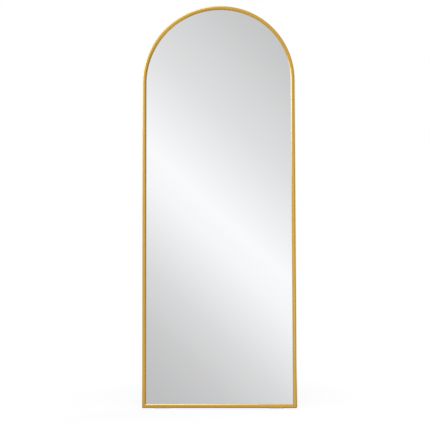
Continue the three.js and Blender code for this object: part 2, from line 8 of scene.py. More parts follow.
import json
import logging
import math
from collections.abc import Callable, Iterator, Sequence
from contextlib import contextmanager
from dataclasses import dataclass
from enum import Enum

import bmesh
import bpy
from mathutils import Matrix, Vector


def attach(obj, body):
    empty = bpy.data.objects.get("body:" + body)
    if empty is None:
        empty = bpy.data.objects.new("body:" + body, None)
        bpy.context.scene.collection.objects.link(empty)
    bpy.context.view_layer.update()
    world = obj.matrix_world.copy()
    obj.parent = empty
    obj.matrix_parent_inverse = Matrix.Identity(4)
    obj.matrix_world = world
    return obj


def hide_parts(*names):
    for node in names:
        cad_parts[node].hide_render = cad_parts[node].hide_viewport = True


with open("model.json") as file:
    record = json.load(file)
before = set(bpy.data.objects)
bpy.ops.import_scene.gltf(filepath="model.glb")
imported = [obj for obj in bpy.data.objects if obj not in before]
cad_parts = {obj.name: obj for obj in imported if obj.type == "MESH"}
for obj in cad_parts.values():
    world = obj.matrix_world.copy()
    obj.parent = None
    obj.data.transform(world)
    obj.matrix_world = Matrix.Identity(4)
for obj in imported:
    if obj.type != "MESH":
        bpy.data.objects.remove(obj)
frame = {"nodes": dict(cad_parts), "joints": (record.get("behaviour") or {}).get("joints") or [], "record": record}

log = logging.getLogger("mirror")
Point = tuple[float, float, float]
# A height along the axis of a turned piece, and the radius there.
Station = tuple[float, float]

MM = 0.001
# How near counts as the same place, and how near two corners are one.
TINY = 1e-5
CLOSE = 1e-7
# What is left free between two pieces that touch on the real mirror.
FIT = 0.3 * MM
RIGHT_ANGLE = math.pi / 2
# Edges sharper than the first are rounded, and over those sharper than the second the shading breaks.
SHARP = math.radians(35)
CREASE = math.radians(32)
HEXAGON = 6


class Side(Enum):
    """The two sides of the mirror, as a person in front of it sees them."""

    LEFT = -1
    RIGHT = 1

    @property
    def word(self) -> str:
        """The side's word in the names of pieces."""
        return self.name.lower()


class Body(Enum):
    """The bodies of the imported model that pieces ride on."""

    PANEL = "panel"
    STAND = "stand"


class Axis(Enum):
    """The turn that points a piece's z axis along another axis."""

    ACROSS = Matrix.Rotation(RIGHT_ANGLE, 4, "Y")
    BACK = Matrix.Rotation(-RIGHT_ANGLE, 4, "X")
    UP = Matrix.Identity(4)


class Pattern(Enum):
    """What a finish's surface is made of, seen close."""

    BRUSHED = "brushed lines"
    GRAINY = "grainy skin"
    FIBRES = "pressed fibres"


# ---- The bench: one piece at a time, shaped by operators ----


class Piece:
    """A piece on the bench. It starts as a primitive and is shaped in edit mode."""

    def __init__(self, name: str, thing: bpy.types.Object | None = None) -> None:
        """Takes the active object, or a given one, as a piece.

        Args:
            name: The piece's name.
            thing: The object, if it isn't the active one.
        """
        self.name = name
        self.thing = thing or bpy.context.object
        self.thing.name = f"{name}_made"
        self.thing.data.name = name

    @staticmethod
    def clear_bench() -> None:
        """Deselects everything."""
        bpy.ops.object.select_all(action="DESELECT")

    def hold(self) -> None:
        """Selects this piece alone, and makes it the active one."""
        self.clear_bench()
        bpy.context.view_layer.objects.active = self.thing
        self.thing.select_set(True)

    @classmethod
    def block(cls, name: str, low: Point, high: Point) -> "Piece":
        """Starts a piece as a box.

        Args:
            name: The piece's name.
            low: Its lowest corner.
            high: Its highest corner.

        Returns:
            The piece.
        """
        cls.clear_bench()
        lowest, highest = Vector(low), Vector(high)
        bpy.ops.mesh.primitive_cube_add(size=1, location=(lowest + highest) / 2)
        piece = cls(name)
        piece.thing.scale = highest - lowest
        piece.settle()
        return piece

    @classmethod
    def sheet(cls, name: str, low: tuple[float, float], high: tuple[float, float]) -> "Piece":
        """Starts a piece as a flat rectangle at z = 0.

        Args:
            name: The piece's name.
            low: Its lowest corner in x and y.
            high: Its highest corner in x and y.

        Returns:
            The piece.
        """
        cls.clear_bench()
        middle = [(a + b) / 2 for a, b in zip(low, high)]
        bpy.ops.mesh.primitive_plane_add(size=1, location=(*middle, 0))
        piece = cls(name)
        piece.thing.scale = (high[0] - low[0], high[1] - low[1], 1)
        piece.settle()
        return piece

    @classmethod
    def disc(cls, name: str, radius: float, steps: int, filled: bool = True) -> "Piece":
        """Starts a piece as a disc or a circle round the z axis.

        Args:
            name: The piece's name.
            radius: Its radius.
            steps: How many corners it has.
            filled: Whether it is a disc.

        Returns:
            The piece.
        """
        cls.clear_bench()
        fill = "NGON" if filled else "NOTHING"
        bpy.ops.mesh.primitive_circle_add(vertices=steps, radius=radius, fill_type=fill)
        return cls(name)

    @classmethod
    def turned(cls, name: str, profile: Sequence[Station], steps: int) -> "Piece":
        """Makes a turned piece from a disc that is extruded and scaled from station to station.

        Args:
            name: The piece's name.
            profile: Its stations along z.
            steps: Corners round the axis.

        Returns:
            The piece.
        """
        height, radius = profile[0]
        piece = cls.disc(name, radius, steps)
        with piece.edited():
            bpy.ops.transform.translate(value=(0, 0, height))
            for next_height, next_radius in profile[1:]:
                piece.extrude((0, 0, next_height - height))
                share = next_radius / radius
                piece.scale((share, share, 1), (0, 0, next_height))
                height, radius = next_height, next_radius
            piece.face_outwards()
        return piece

    @contextmanager
    def edited(self) -> Iterator[None]:
        """Holds the piece in edit mode, with all of it selected at first.

        Returns:
            A context that ends back in object mode.
        """
        self.hold()
        bpy.ops.object.mode_set(mode="EDIT")
        self.pick_all("VERT")
        yield
        bpy.ops.object.mode_set(mode="OBJECT")

    def pick_faces(self, test: Callable[[Vector, Vector], bool]) -> None:
        """Selects the faces whose middle and normal pass a test."""
        self._pick("FACE", lambda mesh: mesh.faces, lambda f: test(f.calc_center_median(), f.normal))

    def pick_edges(self, test: Callable[[Vector, Vector], bool]) -> None:
        """Selects the edges whose middle and whole run pass a test."""
        self._pick("EDGE", lambda mesh: mesh.edges, lambda e: test(middle_of(e), run_of(e)))

    def pick_rims(self, test: Callable[[Vector], bool]) -> None:
        """Selects the open edges whose middle passes a test."""
        self._pick("EDGE", lambda mesh: mesh.edges, lambda e: e.is_boundary and test(middle_of(e)))

    def pick_corners(self, test: Callable[[Vector], bool]) -> None:
        """Selects the corners that pass a test."""
        self._pick("VERT", lambda mesh: mesh.verts, lambda v: test(v.co))

    @staticmethod
    def pick_all(mode: str = "") -> None:
        """Selects the whole piece.

        Args:
            mode: VERT, EDGE or FACE, if what is selected changes.
        """
        if mode:
            bpy.ops.mesh.select_mode(type=mode)
        bpy.ops.mesh.select_all(action="SELECT")

    def _pick(self, mode: str, listing: Callable, test: Callable) -> None:
        """Selects what a listing of the mesh gives, as far as it passes a test.

        Args:
            mode: VERT, EDGE or FACE.
            listing: Takes the mesh and gives its corners, edges or faces.
            test: Takes one of them and says whether it is selected.
        """
        bpy.ops.mesh.select_mode(type=mode)
        bpy.ops.mesh.select_all(action="DESELECT")
        mesh = bmesh.from_edit_mesh(self.thing.data)
        mesh.normal_update()
        for element in listing(mesh):
            if test(element):
                element.select_set(True)
        mesh.select_flush_mode()
        bmesh.update_edit_mesh(self.thing.data)

    @staticmethod
    def extrude(move: Point) -> None:
        """Extrudes what is selected."""
        bpy.ops.mesh.extrude_region_move(TRANSFORM_OT_translate={"value": move})

    @staticmethod
    def scale(factors: Point, centre: Point = (0, 0, 0)) -> None:
        """Scales what is selected about a point."""
        bpy.ops.transform.resize(value=factors, center_override=centre)

    @staticmethod
    def bevel(width: float, steps: int, corners: bool = False) -> None:
        """Rounds the selected edges, or the selected corners of a flat outline."""
        kind = "VERTICES" if corners else "EDGES"
        bpy.ops.mesh.bevel(offset=width, segments=steps, affect=kind, profile=0.5, clamp_overlap=True)

    @staticmethod
    def cut(at: Point, kept: Point, fill: bool = True) -> None:
        """Cuts the selected part along a plane and removes one side.

        Args:
            at: A point of the plane.
            kept: The plane's normal, towards the side that is kept.
            fill: Whether the cut is closed with a face.
        """
        bpy.ops.mesh.bisect(
            plane_co=at, plane_no=kept, clear_inner=True, use_fill=fill, threshold=CLOSE
        )

    def score(self, at: Point, across: Point) -> None:
        """Adds a ring of edges where a plane meets the piece."""
        self.pick_all()
        bpy.ops.mesh.bisect(plane_co=at, plane_no=across, threshold=CLOSE)

    def join_faces(self) -> None:
        """Makes one face of those that lie side by side."""
        self.pick_all("FACE")
        bpy.ops.mesh.dissolve_faces()

    def ring(self, width: float, move: Point) -> None:
        """Opens a flat face in its middle and draws the ring that is left into a wall.

        Args:
            width: How wide the ring is.
            move: Which way and how far it is drawn.
        """
        with self.edited():
            self.pick_all("FACE")
            bpy.ops.mesh.inset(thickness=width, use_even_offset=True)
            bpy.ops.mesh.delete(type="FACE")
            self.pick_all()
            self.extrude(move)
            self.face_outwards()

    def face_outwards(self) -> None:
        """Merges doubled corners and turns every face outwards."""
        self.pick_all()
        bpy.ops.mesh.remove_doubles(threshold=CLOSE)
        bpy.ops.mesh.normals_make_consistent(inside=False)

    def modify(self, kind: str, **settings: object) -> None:
        """Adds a modifier and applies it.

        Args:
            kind: The kind of modifier.
            settings: Its settings.
        """
        self.hold()
        modifier = self.thing.modifiers.new(kind.lower(), kind)
        for name, value in settings.items():
            setattr(modifier, name, value)
        bpy.ops.object.modifier_apply(modifier=modifier.name)

    def combine(self, other: "Piece", how: str) -> None:
        """Cuts with, adds or keeps only what is shared with another piece, which is used up."""
        self.modify("BOOLEAN", operation=how, object=other.thing, solver="EXACT")
        other.discard()

    def break_edges(self, width: float, steps: int = 2) -> None:
        """Takes the sharpness off every sharp edge.

        Args:
            width: How far each side of the edge is cut back.
            steps: How many faces round it.
        """
        self.modify(
            "BEVEL",
            width=width,
            segments=steps,
            limit_method="ANGLE",
            angle_limit=SHARP,
            use_clamp_overlap=True,
        )

    def smooth(self, angle: float = CREASE) -> None:
        """Shades the piece smooth.

        Args:
            angle: Over edges sharper than this, the shading breaks.
        """
        self.hold()
        bpy.ops.object.shade_smooth_by_angle(angle=angle)
        self.modify("WEIGHTED_NORMAL", keep_sharp=True)

    def settle(self) -> None:
        """Puts the object's place, turn and size into its mesh."""
        self.hold()
        bpy.ops.object.transform_apply(location=True, rotation=True, scale=True)

    def move_to(self, place: Matrix) -> "Piece":
        """Moves and turns the piece.

        Args:
            place: Its new place, from where it is.

        Returns:
            The piece.
        """
        self.thing.matrix_world = place @ self.thing.matrix_world
        self.settle()
        return self

    def copied(self, name: str) -> "Piece":
        """Copies the piece.

        Args:
            name: The copy's name.

        Returns:
            The copy, with a mesh of its own.
        """
        thing = self.thing.copy()
        thing.data = self.thing.data.copy()
        bpy.context.scene.collection.objects.link(thing)
        return Piece(name, thing)

    def discard(self) -> None:
        """Takes the piece off the bench for good."""
        mesh = self.thing.data
        bpy.data.objects.remove(self.thing)
        bpy.data.meshes.remove(mesh)

    def pair(
        self, stem: str, base: Matrix, at: Point, body: Body, finish: "Finish", axis: Axis = Axis.UP
    ) -> None:
        """Puts a finished copy on each side of the mirror, and uses this piece up.

        Args:
            stem: The copies' name, but for the side.
            base: The axes that they are placed in.
            at: The right one's place. The left one's is opposite.
            body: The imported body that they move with.
            finish: Their finish.
            axis: Where their z axis points.
        """
        x, y, z = at
        for side in Side:
            place = base @ Matrix.Translation((side.value * x, y, z)) @ axis.value
            self.copied(f"{stem}_{side.word}").move_to(place).finish(body, finish)
        self.discard()

    def add(self, other: "Piece") -> None:
        """Takes in another piece's mesh as it is.

        Args:
            other: The other piece, which is used up.
        """
        self.hold()
        other.thing.select_set(True)
        bpy.ops.object.join()

    def finish(self, body: Body, finish: "Finish", keep_materials: bool = False) -> None:
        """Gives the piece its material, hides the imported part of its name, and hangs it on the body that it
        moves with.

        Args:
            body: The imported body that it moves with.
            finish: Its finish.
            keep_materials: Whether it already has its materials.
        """
        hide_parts(self.name)
        if not keep_materials:
            self.thing.data.materials.clear()
            self.thing.data.materials.append(finish.material())
        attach(self.thing, body.value)
        log.info("%s: %d faces", self.name, len(self.thing.data.polygons))


def middle_of(edge: bmesh.types.BMEdge) -> Vector:
    """The middle of an edge."""
    return (edge.verts[0].co + edge.verts[1].co) / 2


def run_of(edge: bmesh.types.BMEdge) -> Vector:
    """The way from one end of an edge to the other."""
    return edge.verts[1].co - edge.verts[0].co


def near(value: float, target: float) -> bool:
    """Whether a value is at a target."""
    return abs(value - target) < TINY


def dome(start: Station, end: Station, steps: int) -> list[Station]:
    """A quarter of an ellipse that starts upright and ends level.

    Args:
        start: Where it starts.
        end: Where it ends, higher and nearer the axis.
        steps: How many stations follow the first.

    Returns:
        Its stations.
    """
    rise, shrink = end[0] - start[0], start[1] - end[1]
    angles = [RIGHT_ANGLE * step / steps for step in range(1, steps + 1)]
    return [start] + [(start[0] + rise * math.sin(a), end[1] + shrink * math.cos(a)) for a in angles]


# ---- Finishes ----

Colour = tuple[float, float, float]

GRAIN_MAP = "grain"
# The sockets of a Mix node, by its kind: the share, the two values and the output.
MIX_SOCKETS = {"RGBA": (0, 6, 7, 2), "FLOAT": (0, 2, 3, 0)}
# The detail and the roughness of the noise in each pattern, and of the slow tone in all of them.
FIBRE_NOISE = (4.0, 0.65)
SKIN_NOISE = (3.0, 0.55)
TONE_NOISE = (2.0, 0.5)
# How much slower the tone changes than the marks do.
TONE_SHARE = (0.06, 0.06, 0.06)
# What noise is between, nearly everywhere.
NOISE_RANGE = (0.3, 0.7)


class Graph:
    """A node tree under construction."""

    def __init__(self, tree: bpy.types.NodeTree) -> None:
        """Takes an empty node tree."""
        self.tree = tree

    @classmethod
    def of(cls, owner: bpy.types.Material | bpy.types.World) -> "Graph":
        """Starts on the node tree of a new material or world.

        Args:
            owner: The material or world.

        Returns:
            Its tree, empty.
        """
        owner.use_nodes = True
        owner.node_tree.nodes.clear()
        return cls(owner.node_tree)

    def node(self, kind: str, **settings: object) -> bpy.types.Node:
        """Adds a node.

        Args:
            kind: The kind of shader node, or the whole name of one of a group's two ends.
            settings: Its properties.

        Returns:
            The node.
        """
        made = self.tree.nodes.new(kind if kind.startswith("NodeGroup") else f"ShaderNode{kind}")
        for name, value in settings.items():
            setattr(made, name, value)
        return made

    def link(self, source: bpy.types.NodeSocket, target: bpy.types.NodeSocket) -> None:
        """Links an output to an input."""
        self.tree.links.new(source, target)

    def number(self, operation: str, *values: object, clamp: bool = False) -> bpy.types.NodeSocket:
        """Adds a calculation with numbers.

        Args:
            operation: The Math node's operation.
            values: Numbers or outputs.
            clamp: Whether the result stays between 0 and 1.

        Returns:
            The result.
        """
        made = self.node("Math", operation=operation, use_clamp=clamp)
        self.fill(made.inputs, values)
        return made.outputs[0]

    def dot(self, vector: bpy.types.NodeSocket, axis: Point) -> bpy.types.NodeSocket:
        """Adds a dot product.

        Args:
            vector: An output.
            axis: A fixed axis.

        Returns:
            How far the vector goes along the axis.
        """
        made = self.node("VectorMath", operation="DOT_PRODUCT")
        self.link(vector, made.inputs[0])
        made.inputs[1].default_value = axis
        return made.outputs["Value"]

    def fill(self, sockets: Sequence[bpy.types.NodeSocket], values: Sequence[object]) -> None:
        """Sets or links a row of inputs.

        Args:
            sockets: The inputs.
            values: For each, a value or the output that it takes.
        """
        for socket, value in zip(sockets, values):
            if isinstance(value, bpy.types.NodeSocket):
                self.link(value, socket)
            else:
                socket.default_value = value

    def mix(self, share: object, low: object, high: object, kind: str = "RGBA") -> bpy.types.NodeSocket:
        """Adds a mix of two colours, or of two values of another kind.

        Args:
            share: The second value's share, as a number or an output.
            low: The first value, or an output.
            high: The second value, or an output.
            kind: What is mixed.

        Returns:
            The mix.
        """
        made = self.node("Mix", data_type=kind)
        *taken, given = MIX_SOCKETS[kind]
        self.fill([made.inputs[index] for index in taken], [share, low, high])
        return made.outputs[given]

    def between(self, share: object, low: object, high: object) -> bpy.types.NodeSocket:
        """Adds a mix of two numbers; each value is a number or an output."""
        return self.mix(share, low, high, "FLOAT")

    def plane(self, way: bpy.types.NodeSocket, slope: Point) -> bpy.types.NodeSocket:
        """Adds a level that changes evenly with the way of a ray.

        Args:
            way: The way.
            slope: How the level changes with x and with z, and its level where both are 0.

        Returns:
            The level.
        """
        to_side, to_top, plain = slope
        sideways = self.number("MULTIPLY_ADD", self.dot(way, (1, 0, 0)), to_side, plain)
        return self.number("MULTIPLY_ADD", self.dot(way, (0, 0, 1)), to_top, sideways)

    def ease(
        self, value: object, start: float, end: float, low: float, high: float
    ) -> bpy.types.NodeSocket:
        """Adds a smooth step.

        Args:
            value: The output that it follows.
            start: Where the step starts.
            end: Where it ends.
            low: The level before it.
            high: The level after it.

        Returns:
            The level.
        """
        made = self.node("MapRange", interpolation_type="SMOOTHSTEP")
        self.fill(made.inputs, [value, start, end, low, high])
        return made.outputs[0]

    def noise(self, vector: bpy.types.NodeSocket, look: tuple[float, float]) -> bpy.types.NodeSocket:
        """Adds noise of one mark to a unit.

        Args:
            vector: The place that it follows.
            look: Its detail and its roughness.

        Returns:
            The noise, from 0 to 1.
        """
        made = self.node("TexNoise")
        self.link(vector, made.inputs["Vector"])
        made.inputs["Scale"].default_value = 1.0
        made.inputs["Detail"].default_value, made.inputs["Roughness"].default_value = look
        return made.outputs["Fac"]

    def product(self, vector: bpy.types.NodeSocket, factors: object) -> bpy.types.NodeSocket:
        """Adds the product of two vectors, number by number.

        Args:
            vector: An output.
            factors: Three numbers, or an output.

        Returns:
            The product.
        """
        made = self.node("VectorMath", operation="MULTIPLY")
        self.fill(made.inputs, [vector, factors])
        return made.outputs[0]


def with_alpha(colour: Colour) -> tuple[float, float, float, float]:
    """A colour as a node's socket takes it."""
    return (*colour, 1.0)


def pattern_group(pattern: Pattern) -> bpy.types.NodeTree:
    """The node group of a pattern, built the first time that it is asked for.

    Args:
        pattern: What the surface is made of.

    Returns:
        A group that takes a place in metres, marks in a metre and how much longer a mark is than it is
        wide, and gives a slow tone and a fine height, both from 0 to 1.
    """
    known = bpy.data.node_groups.get(pattern.value)
    if known:
        return known
    tree = bpy.data.node_groups.new(pattern.value, "ShaderNodeTree")
    tree.interface.new_socket("Place", in_out="INPUT", socket_type="NodeSocketVector")
    for name, end in (("Marks", "INPUT"), ("Stretch", "INPUT"), ("Tone", "OUTPUT"), ("Height", "OUTPUT")):
        tree.interface.new_socket(name, in_out=end, socket_type="NodeSocketFloat")
    graph = Graph(tree)
    given = graph.node("NodeGroupInput")
    ends = graph.node("NodeGroupOutput")
    place, marks, stretch = (given.outputs[name] for name in ("Place", "Marks", "Stretch"))
    long_marks = graph.number("DIVIDE", marks, stretch)
    spread = graph.node("CombineXYZ")
    graph.fill(spread.inputs, [long_marks, marks, marks])
    fine = graph.product(place, spread.outputs[0])
    if pattern is Pattern.FIBRES:
        turned = graph.node("CombineXYZ")
        graph.fill(turned.inputs, [marks, marks, long_marks])
        crossed = graph.noise(graph.product(place, turned.outputs[0]), FIBRE_NOISE)
        height = graph.number("MAXIMUM", graph.noise(fine, FIBRE_NOISE), crossed)
    else:
        height = graph.noise(fine, SKIN_NOISE)
    slow = graph.noise(graph.product(fine, TONE_SHARE), TONE_NOISE)
    tone = graph.node("MapRange")
    graph.fill(tone.inputs, [slow, *NOISE_RANGE])
    graph.link(tone.outputs[0], ends.inputs["Tone"])
    graph.link(height, ends.inputs["Height"])
    return tree


@dataclass(frozen=True)
class Finish:
    """A finish: two close tones of one colour, and fine marks that vary its gloss and its height."""

    slot: str
    label: str
    colour: Colour
    accent: Colour
    roughness: float
    pattern: Pattern = Pattern.GRAINY
    metallic: float = 0.0
    roughness_spread: float = 0.06
    marks: float = 1500.0
    stretch: float = 1.0
    height: float = 0.02 * MM
    coat: float = 0.0
    coat_roughness: float = 0.1
    coat_ior: float = 1.5
    clearness: float = 0.0
    along_piece: bool = False

    def material(self) -> bpy.types.Material:
        """Builds the finish's material, the first time that it is asked for.

        Returns:
            The material.
        """
        known = bpy.data.materials.get(self.label)
        if known:
            return known
        made = bpy.data.materials.new(self.label)
        graph = Graph.of(made)
        surface = graph.node("BsdfPrincipled")
        graph.link(surface.outputs[0], graph.node("OutputMaterial").inputs[0])
        surface.inputs["Metallic"].default_value = self.metallic
        surface.inputs["Coat Weight"].default_value = self.coat
        surface.inputs["Coat Roughness"].default_value = self.coat_roughness
        surface.inputs["Coat IOR"].default_value = self.coat_ior
        surface.inputs["Transmission Weight"].default_value = self.clearness
        if self.along_piece:
            place = graph.node("UVMap", uv_map=GRAIN_MAP).outputs[0]
        else:
            place = graph.node("TexCoord").outputs["Object"]
        marks = graph.node("Group")
        marks.node_tree = pattern_group(self.pattern)
        graph.fill(marks.inputs, [place, self.marks, self.stretch])
        tone, height = marks.outputs["Tone"], marks.outputs["Height"]
        colour = graph.mix(tone, with_alpha(self.colour), with_alpha(self.accent))
        graph.link(colour, surface.inputs["Base Color"])
        gloss = graph.node("MapRange")
        low, high = self.roughness - self.roughness_spread, self.roughness + self.roughness_spread
        graph.fill(gloss.inputs, [height, *NOISE_RANGE, low, high])
        graph.link(gloss.outputs[0], surface.inputs["Roughness"])
        if self.height:
            bump = graph.node("Bump")
            bump.inputs["Distance"].default_value = self.height
            graph.link(height, bump.inputs["Height"])
            graph.link(bump.outputs[0], surface.inputs["Normal"])
        return made


SATIN_GOLD = Finish(
    slot="frame_gold",
    label="satin gold",
    colour=(0.89, 0.49, 0.016),
    accent=(0.92, 0.52, 0.022),
    roughness=0.25,
    pattern=Pattern.BRUSHED,
    metallic=1.0,
    roughness_spread=0.04,
    marks=3500.0,
    stretch=120.0,
    height=0.0008 * MM,
    coat=1.0,
    coat_roughness=0.08,
    coat_ior=1.85,
    along_piece=True,
)
SILVERED_GLASS = Finish(
    slot="silvered_glass",
    label="silvered glass",
    colour=(0.946, 0.950, 0.960),
    accent=(0.950, 0.954, 0.965),
    roughness=0.016,
    metallic=1.0,
    roughness_spread=0.004,
    marks=20.0,
    height=0.0,
)
MIRROR_PAINT = Finish(
    slot="silvered_glass",
    label="mirror backing paint",
    colour=(0.235, 0.250, 0.262),
    accent=(0.275, 0.290, 0.300),
    roughness=0.55,
    marks=900.0,
    height=0.02 * MM,
)
GLASS_EDGE = Finish(
    slot="silvered_glass",
    label="ground glass edge",
    colour=(0.36, 0.50, 0.44),
    accent=(0.42, 0.57, 0.50),
    roughness=0.32,
    marks=2500.0,
    height=0.01 * MM,
    coat=0.4,
)
GASKET_RUBBER = Finish(
    slot="gasket_rubber",
    label="gasket rubber",
    colour=(0.013, 0.013, 0.014),
    accent=(0.020, 0.020, 0.021),
    roughness=0.78,
    marks=2600.0,
    height=0.03 * MM,
)
HARDBOARD = Finish(
    slot="hardboard",
    label="hardboard",
    colour=(0.155, 0.082, 0.040),
    accent=(0.235, 0.134, 0.070),
    roughness=0.80,
    pattern=Pattern.FIBRES,
    roughness_spread=0.08,
    marks=650.0,
    stretch=7.0,
    height=0.08 * MM,
)
CAST_KEY = Finish(
    slot="corner_key",
    label="cast corner key",
    colour=(0.42, 0.43, 0.45),
    accent=(0.50, 0.51, 0.53),
    roughness=0.52,
    metallic=1.0,
    marks=900.0,
    height=0.05 * MM,
)
ZINC = Finish(
    slot="screw_zinc",
    label="zinc plate",
    colour=(0.55, 0.56, 0.57),
    accent=(0.66, 0.66, 0.64),
    roughness=0.33,
    metallic=1.0,
    roughness_spread=0.08,
    marks=1100.0,
    height=0.008 * MM,
)
CLIP_STEEL = Finish(
    slot="clip_steel",
    label="rolled clip steel",
    colour=(0.52, 0.53, 0.54),
    accent=(0.62, 0.62, 0.61),
    roughness=0.36,
    metallic=1.0,
    roughness_spread=0.08,
    marks=1400.0,
    stretch=6.0,
    height=0.01 * MM,
)
BOLT_STEEL = Finish(
    slot="bolt_steel",
    label="bolt steel",
    colour=(0.47, 0.48, 0.50),
    accent=(0.58, 0.58, 0.58),
    roughness=0.30,
    metallic=1.0,
    roughness_spread=0.07,
    marks=1300.0,
    height=0.008 * MM,
)
POWDER_BLACK = Finish(
    slot="black_steel",
    label="black powder coat",
    colour=(0.0125, 0.0125, 0.0135),
    accent=(0.0190, 0.0190, 0.0200),
    roughness=0.44,
    roughness_spread=0.07,
    marks=1250.0,
    height=0.05 * MM,
    coat=0.15,
    coat_roughness=0.30,
)
NYLON = Finish(
    slot="washer_nylon",
    label="natural nylon",
    colour=(0.70, 0.67, 0.58),
    accent=(0.76, 0.73, 0.65),
    roughness=0.46,
    marks=1600.0,
)
BLACK_PLASTIC = Finish(
    slot="black_plastic",
    label="moulded black plastic",
    colour=(0.012, 0.012, 0.013),
    accent=(0.017, 0.017, 0.018),
    roughness=0.50,
    marks=2200.0,
    height=0.025 * MM,
)
FOOT_RUBBER = Finish(
    slot="foot_rubber",
    label="foot rubber",
    colour=(0.014, 0.014, 0.015),
    accent=(0.022, 0.022, 0.023),
    roughness=0.74,
    marks=1700.0,
    height=0.04 * MM,
)
PAD_SILICONE = Finish(
    slot="pad_silicone",
    label="pale silicone",
    colour=(0.93, 0.93, 0.92),
    accent=(0.95, 0.95, 0.94),
    roughness=0.42,
    marks=1500.0,
    height=0.02 * MM,
    clearness=0.8,
)


# ---- Where the panel and the stand are ----


@dataclass
class Placement:
    """Where the leaning panel and the open stand are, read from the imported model."""

    pivot_up: float = 1150 * MM
    pivot_back: float = 41.1 * MM
    splay: float = math.radians(6.5)
    wall_mount: str = "wall_rest_left"
    joint: str = "stand_fold"

    def __post_init__(self) -> None:
        """Finds the lean in the mount that meets a wall, and the origin from the stand's joint."""
        mount = next(m for m in frame["record"]["mounts"] if m["name"] == self.wall_mount)
        joint = next(j for j in frame["joints"] if j["name"] == self.joint)
        self.lean = math.atan2(-mount["axis"][2], mount["axis"][1])
        self.pivot = Vector(joint["pos_m"])
        leant = Matrix.Rotation(-self.lean, 4, "X")
        origin = self.pivot - leant @ Vector((0, self.pivot_back, self.pivot_up))
        self.panel = Matrix.Translation(origin) @ leant
        self.stand = Matrix.Translation(self.pivot) @ Matrix.Rotation(self.splay, 4, "X")

    def floor_under(self, depth: float) -> float:
        """How high the floor is in the panel's axes, at a depth.

        Args:
            depth: A distance back from the front of the frame.

        Returns:
            The floor's height there.
        """
        back_up = self.panel.inverted()
        normal = back_up.to_3x3() @ Vector((0, 0, 1))
        on_floor = back_up @ Vector((0, 0, 0))
        return on_floor.z - (depth - on_floor.y) * normal.y / normal.z


# ---- The frame ----


@dataclass
class Outline:
    """The arched outline that the frame, the glass and the board share."""

    width: float = 650 * MM
    height: float = 1700 * MM
    steps: int = 144

    @property
    def half(self) -> float:
        """Half the width, and the radius of the arch."""
        return self.width / 2

    @property
    def springline(self) -> float:
        """Where the sides end and the half circle begins."""
        return self.height - self.half

    def sheet(self, name: str, inset: float, bottom: float, front: float, thickness: float) -> Piece:
        """A flat sheet of the outline: a half disc whose straight edge is drawn down to the bottom.

        Args:
            name: The piece's name.
            inset: How far it is drawn in from the outline.
            bottom: Where it ends at the bottom.
            front: The depth of its front face.
            thickness: Its thickness.

        Returns:
            The sheet, upright.
        """
        piece = Piece.disc(name, self.half - inset, 2 * self.steps)
        piece.move_to(Matrix.Translation((0, front, self.springline)) @ Axis.BACK.value)
        with piece.edited():
            piece.cut((0, 0, self.springline), (0, 0, 1), fill=False)
            piece.pick_edges(lambda middle, run: near(middle.z, self.springline) and near(run.z, 0))
            piece.extrude((0, 0, bottom - self.springline))
            piece.join_faces()
            piece.pick_all()
            if thickness:
                piece.extrude((0, thickness, 0))
            piece.face_outwards()
        return piece


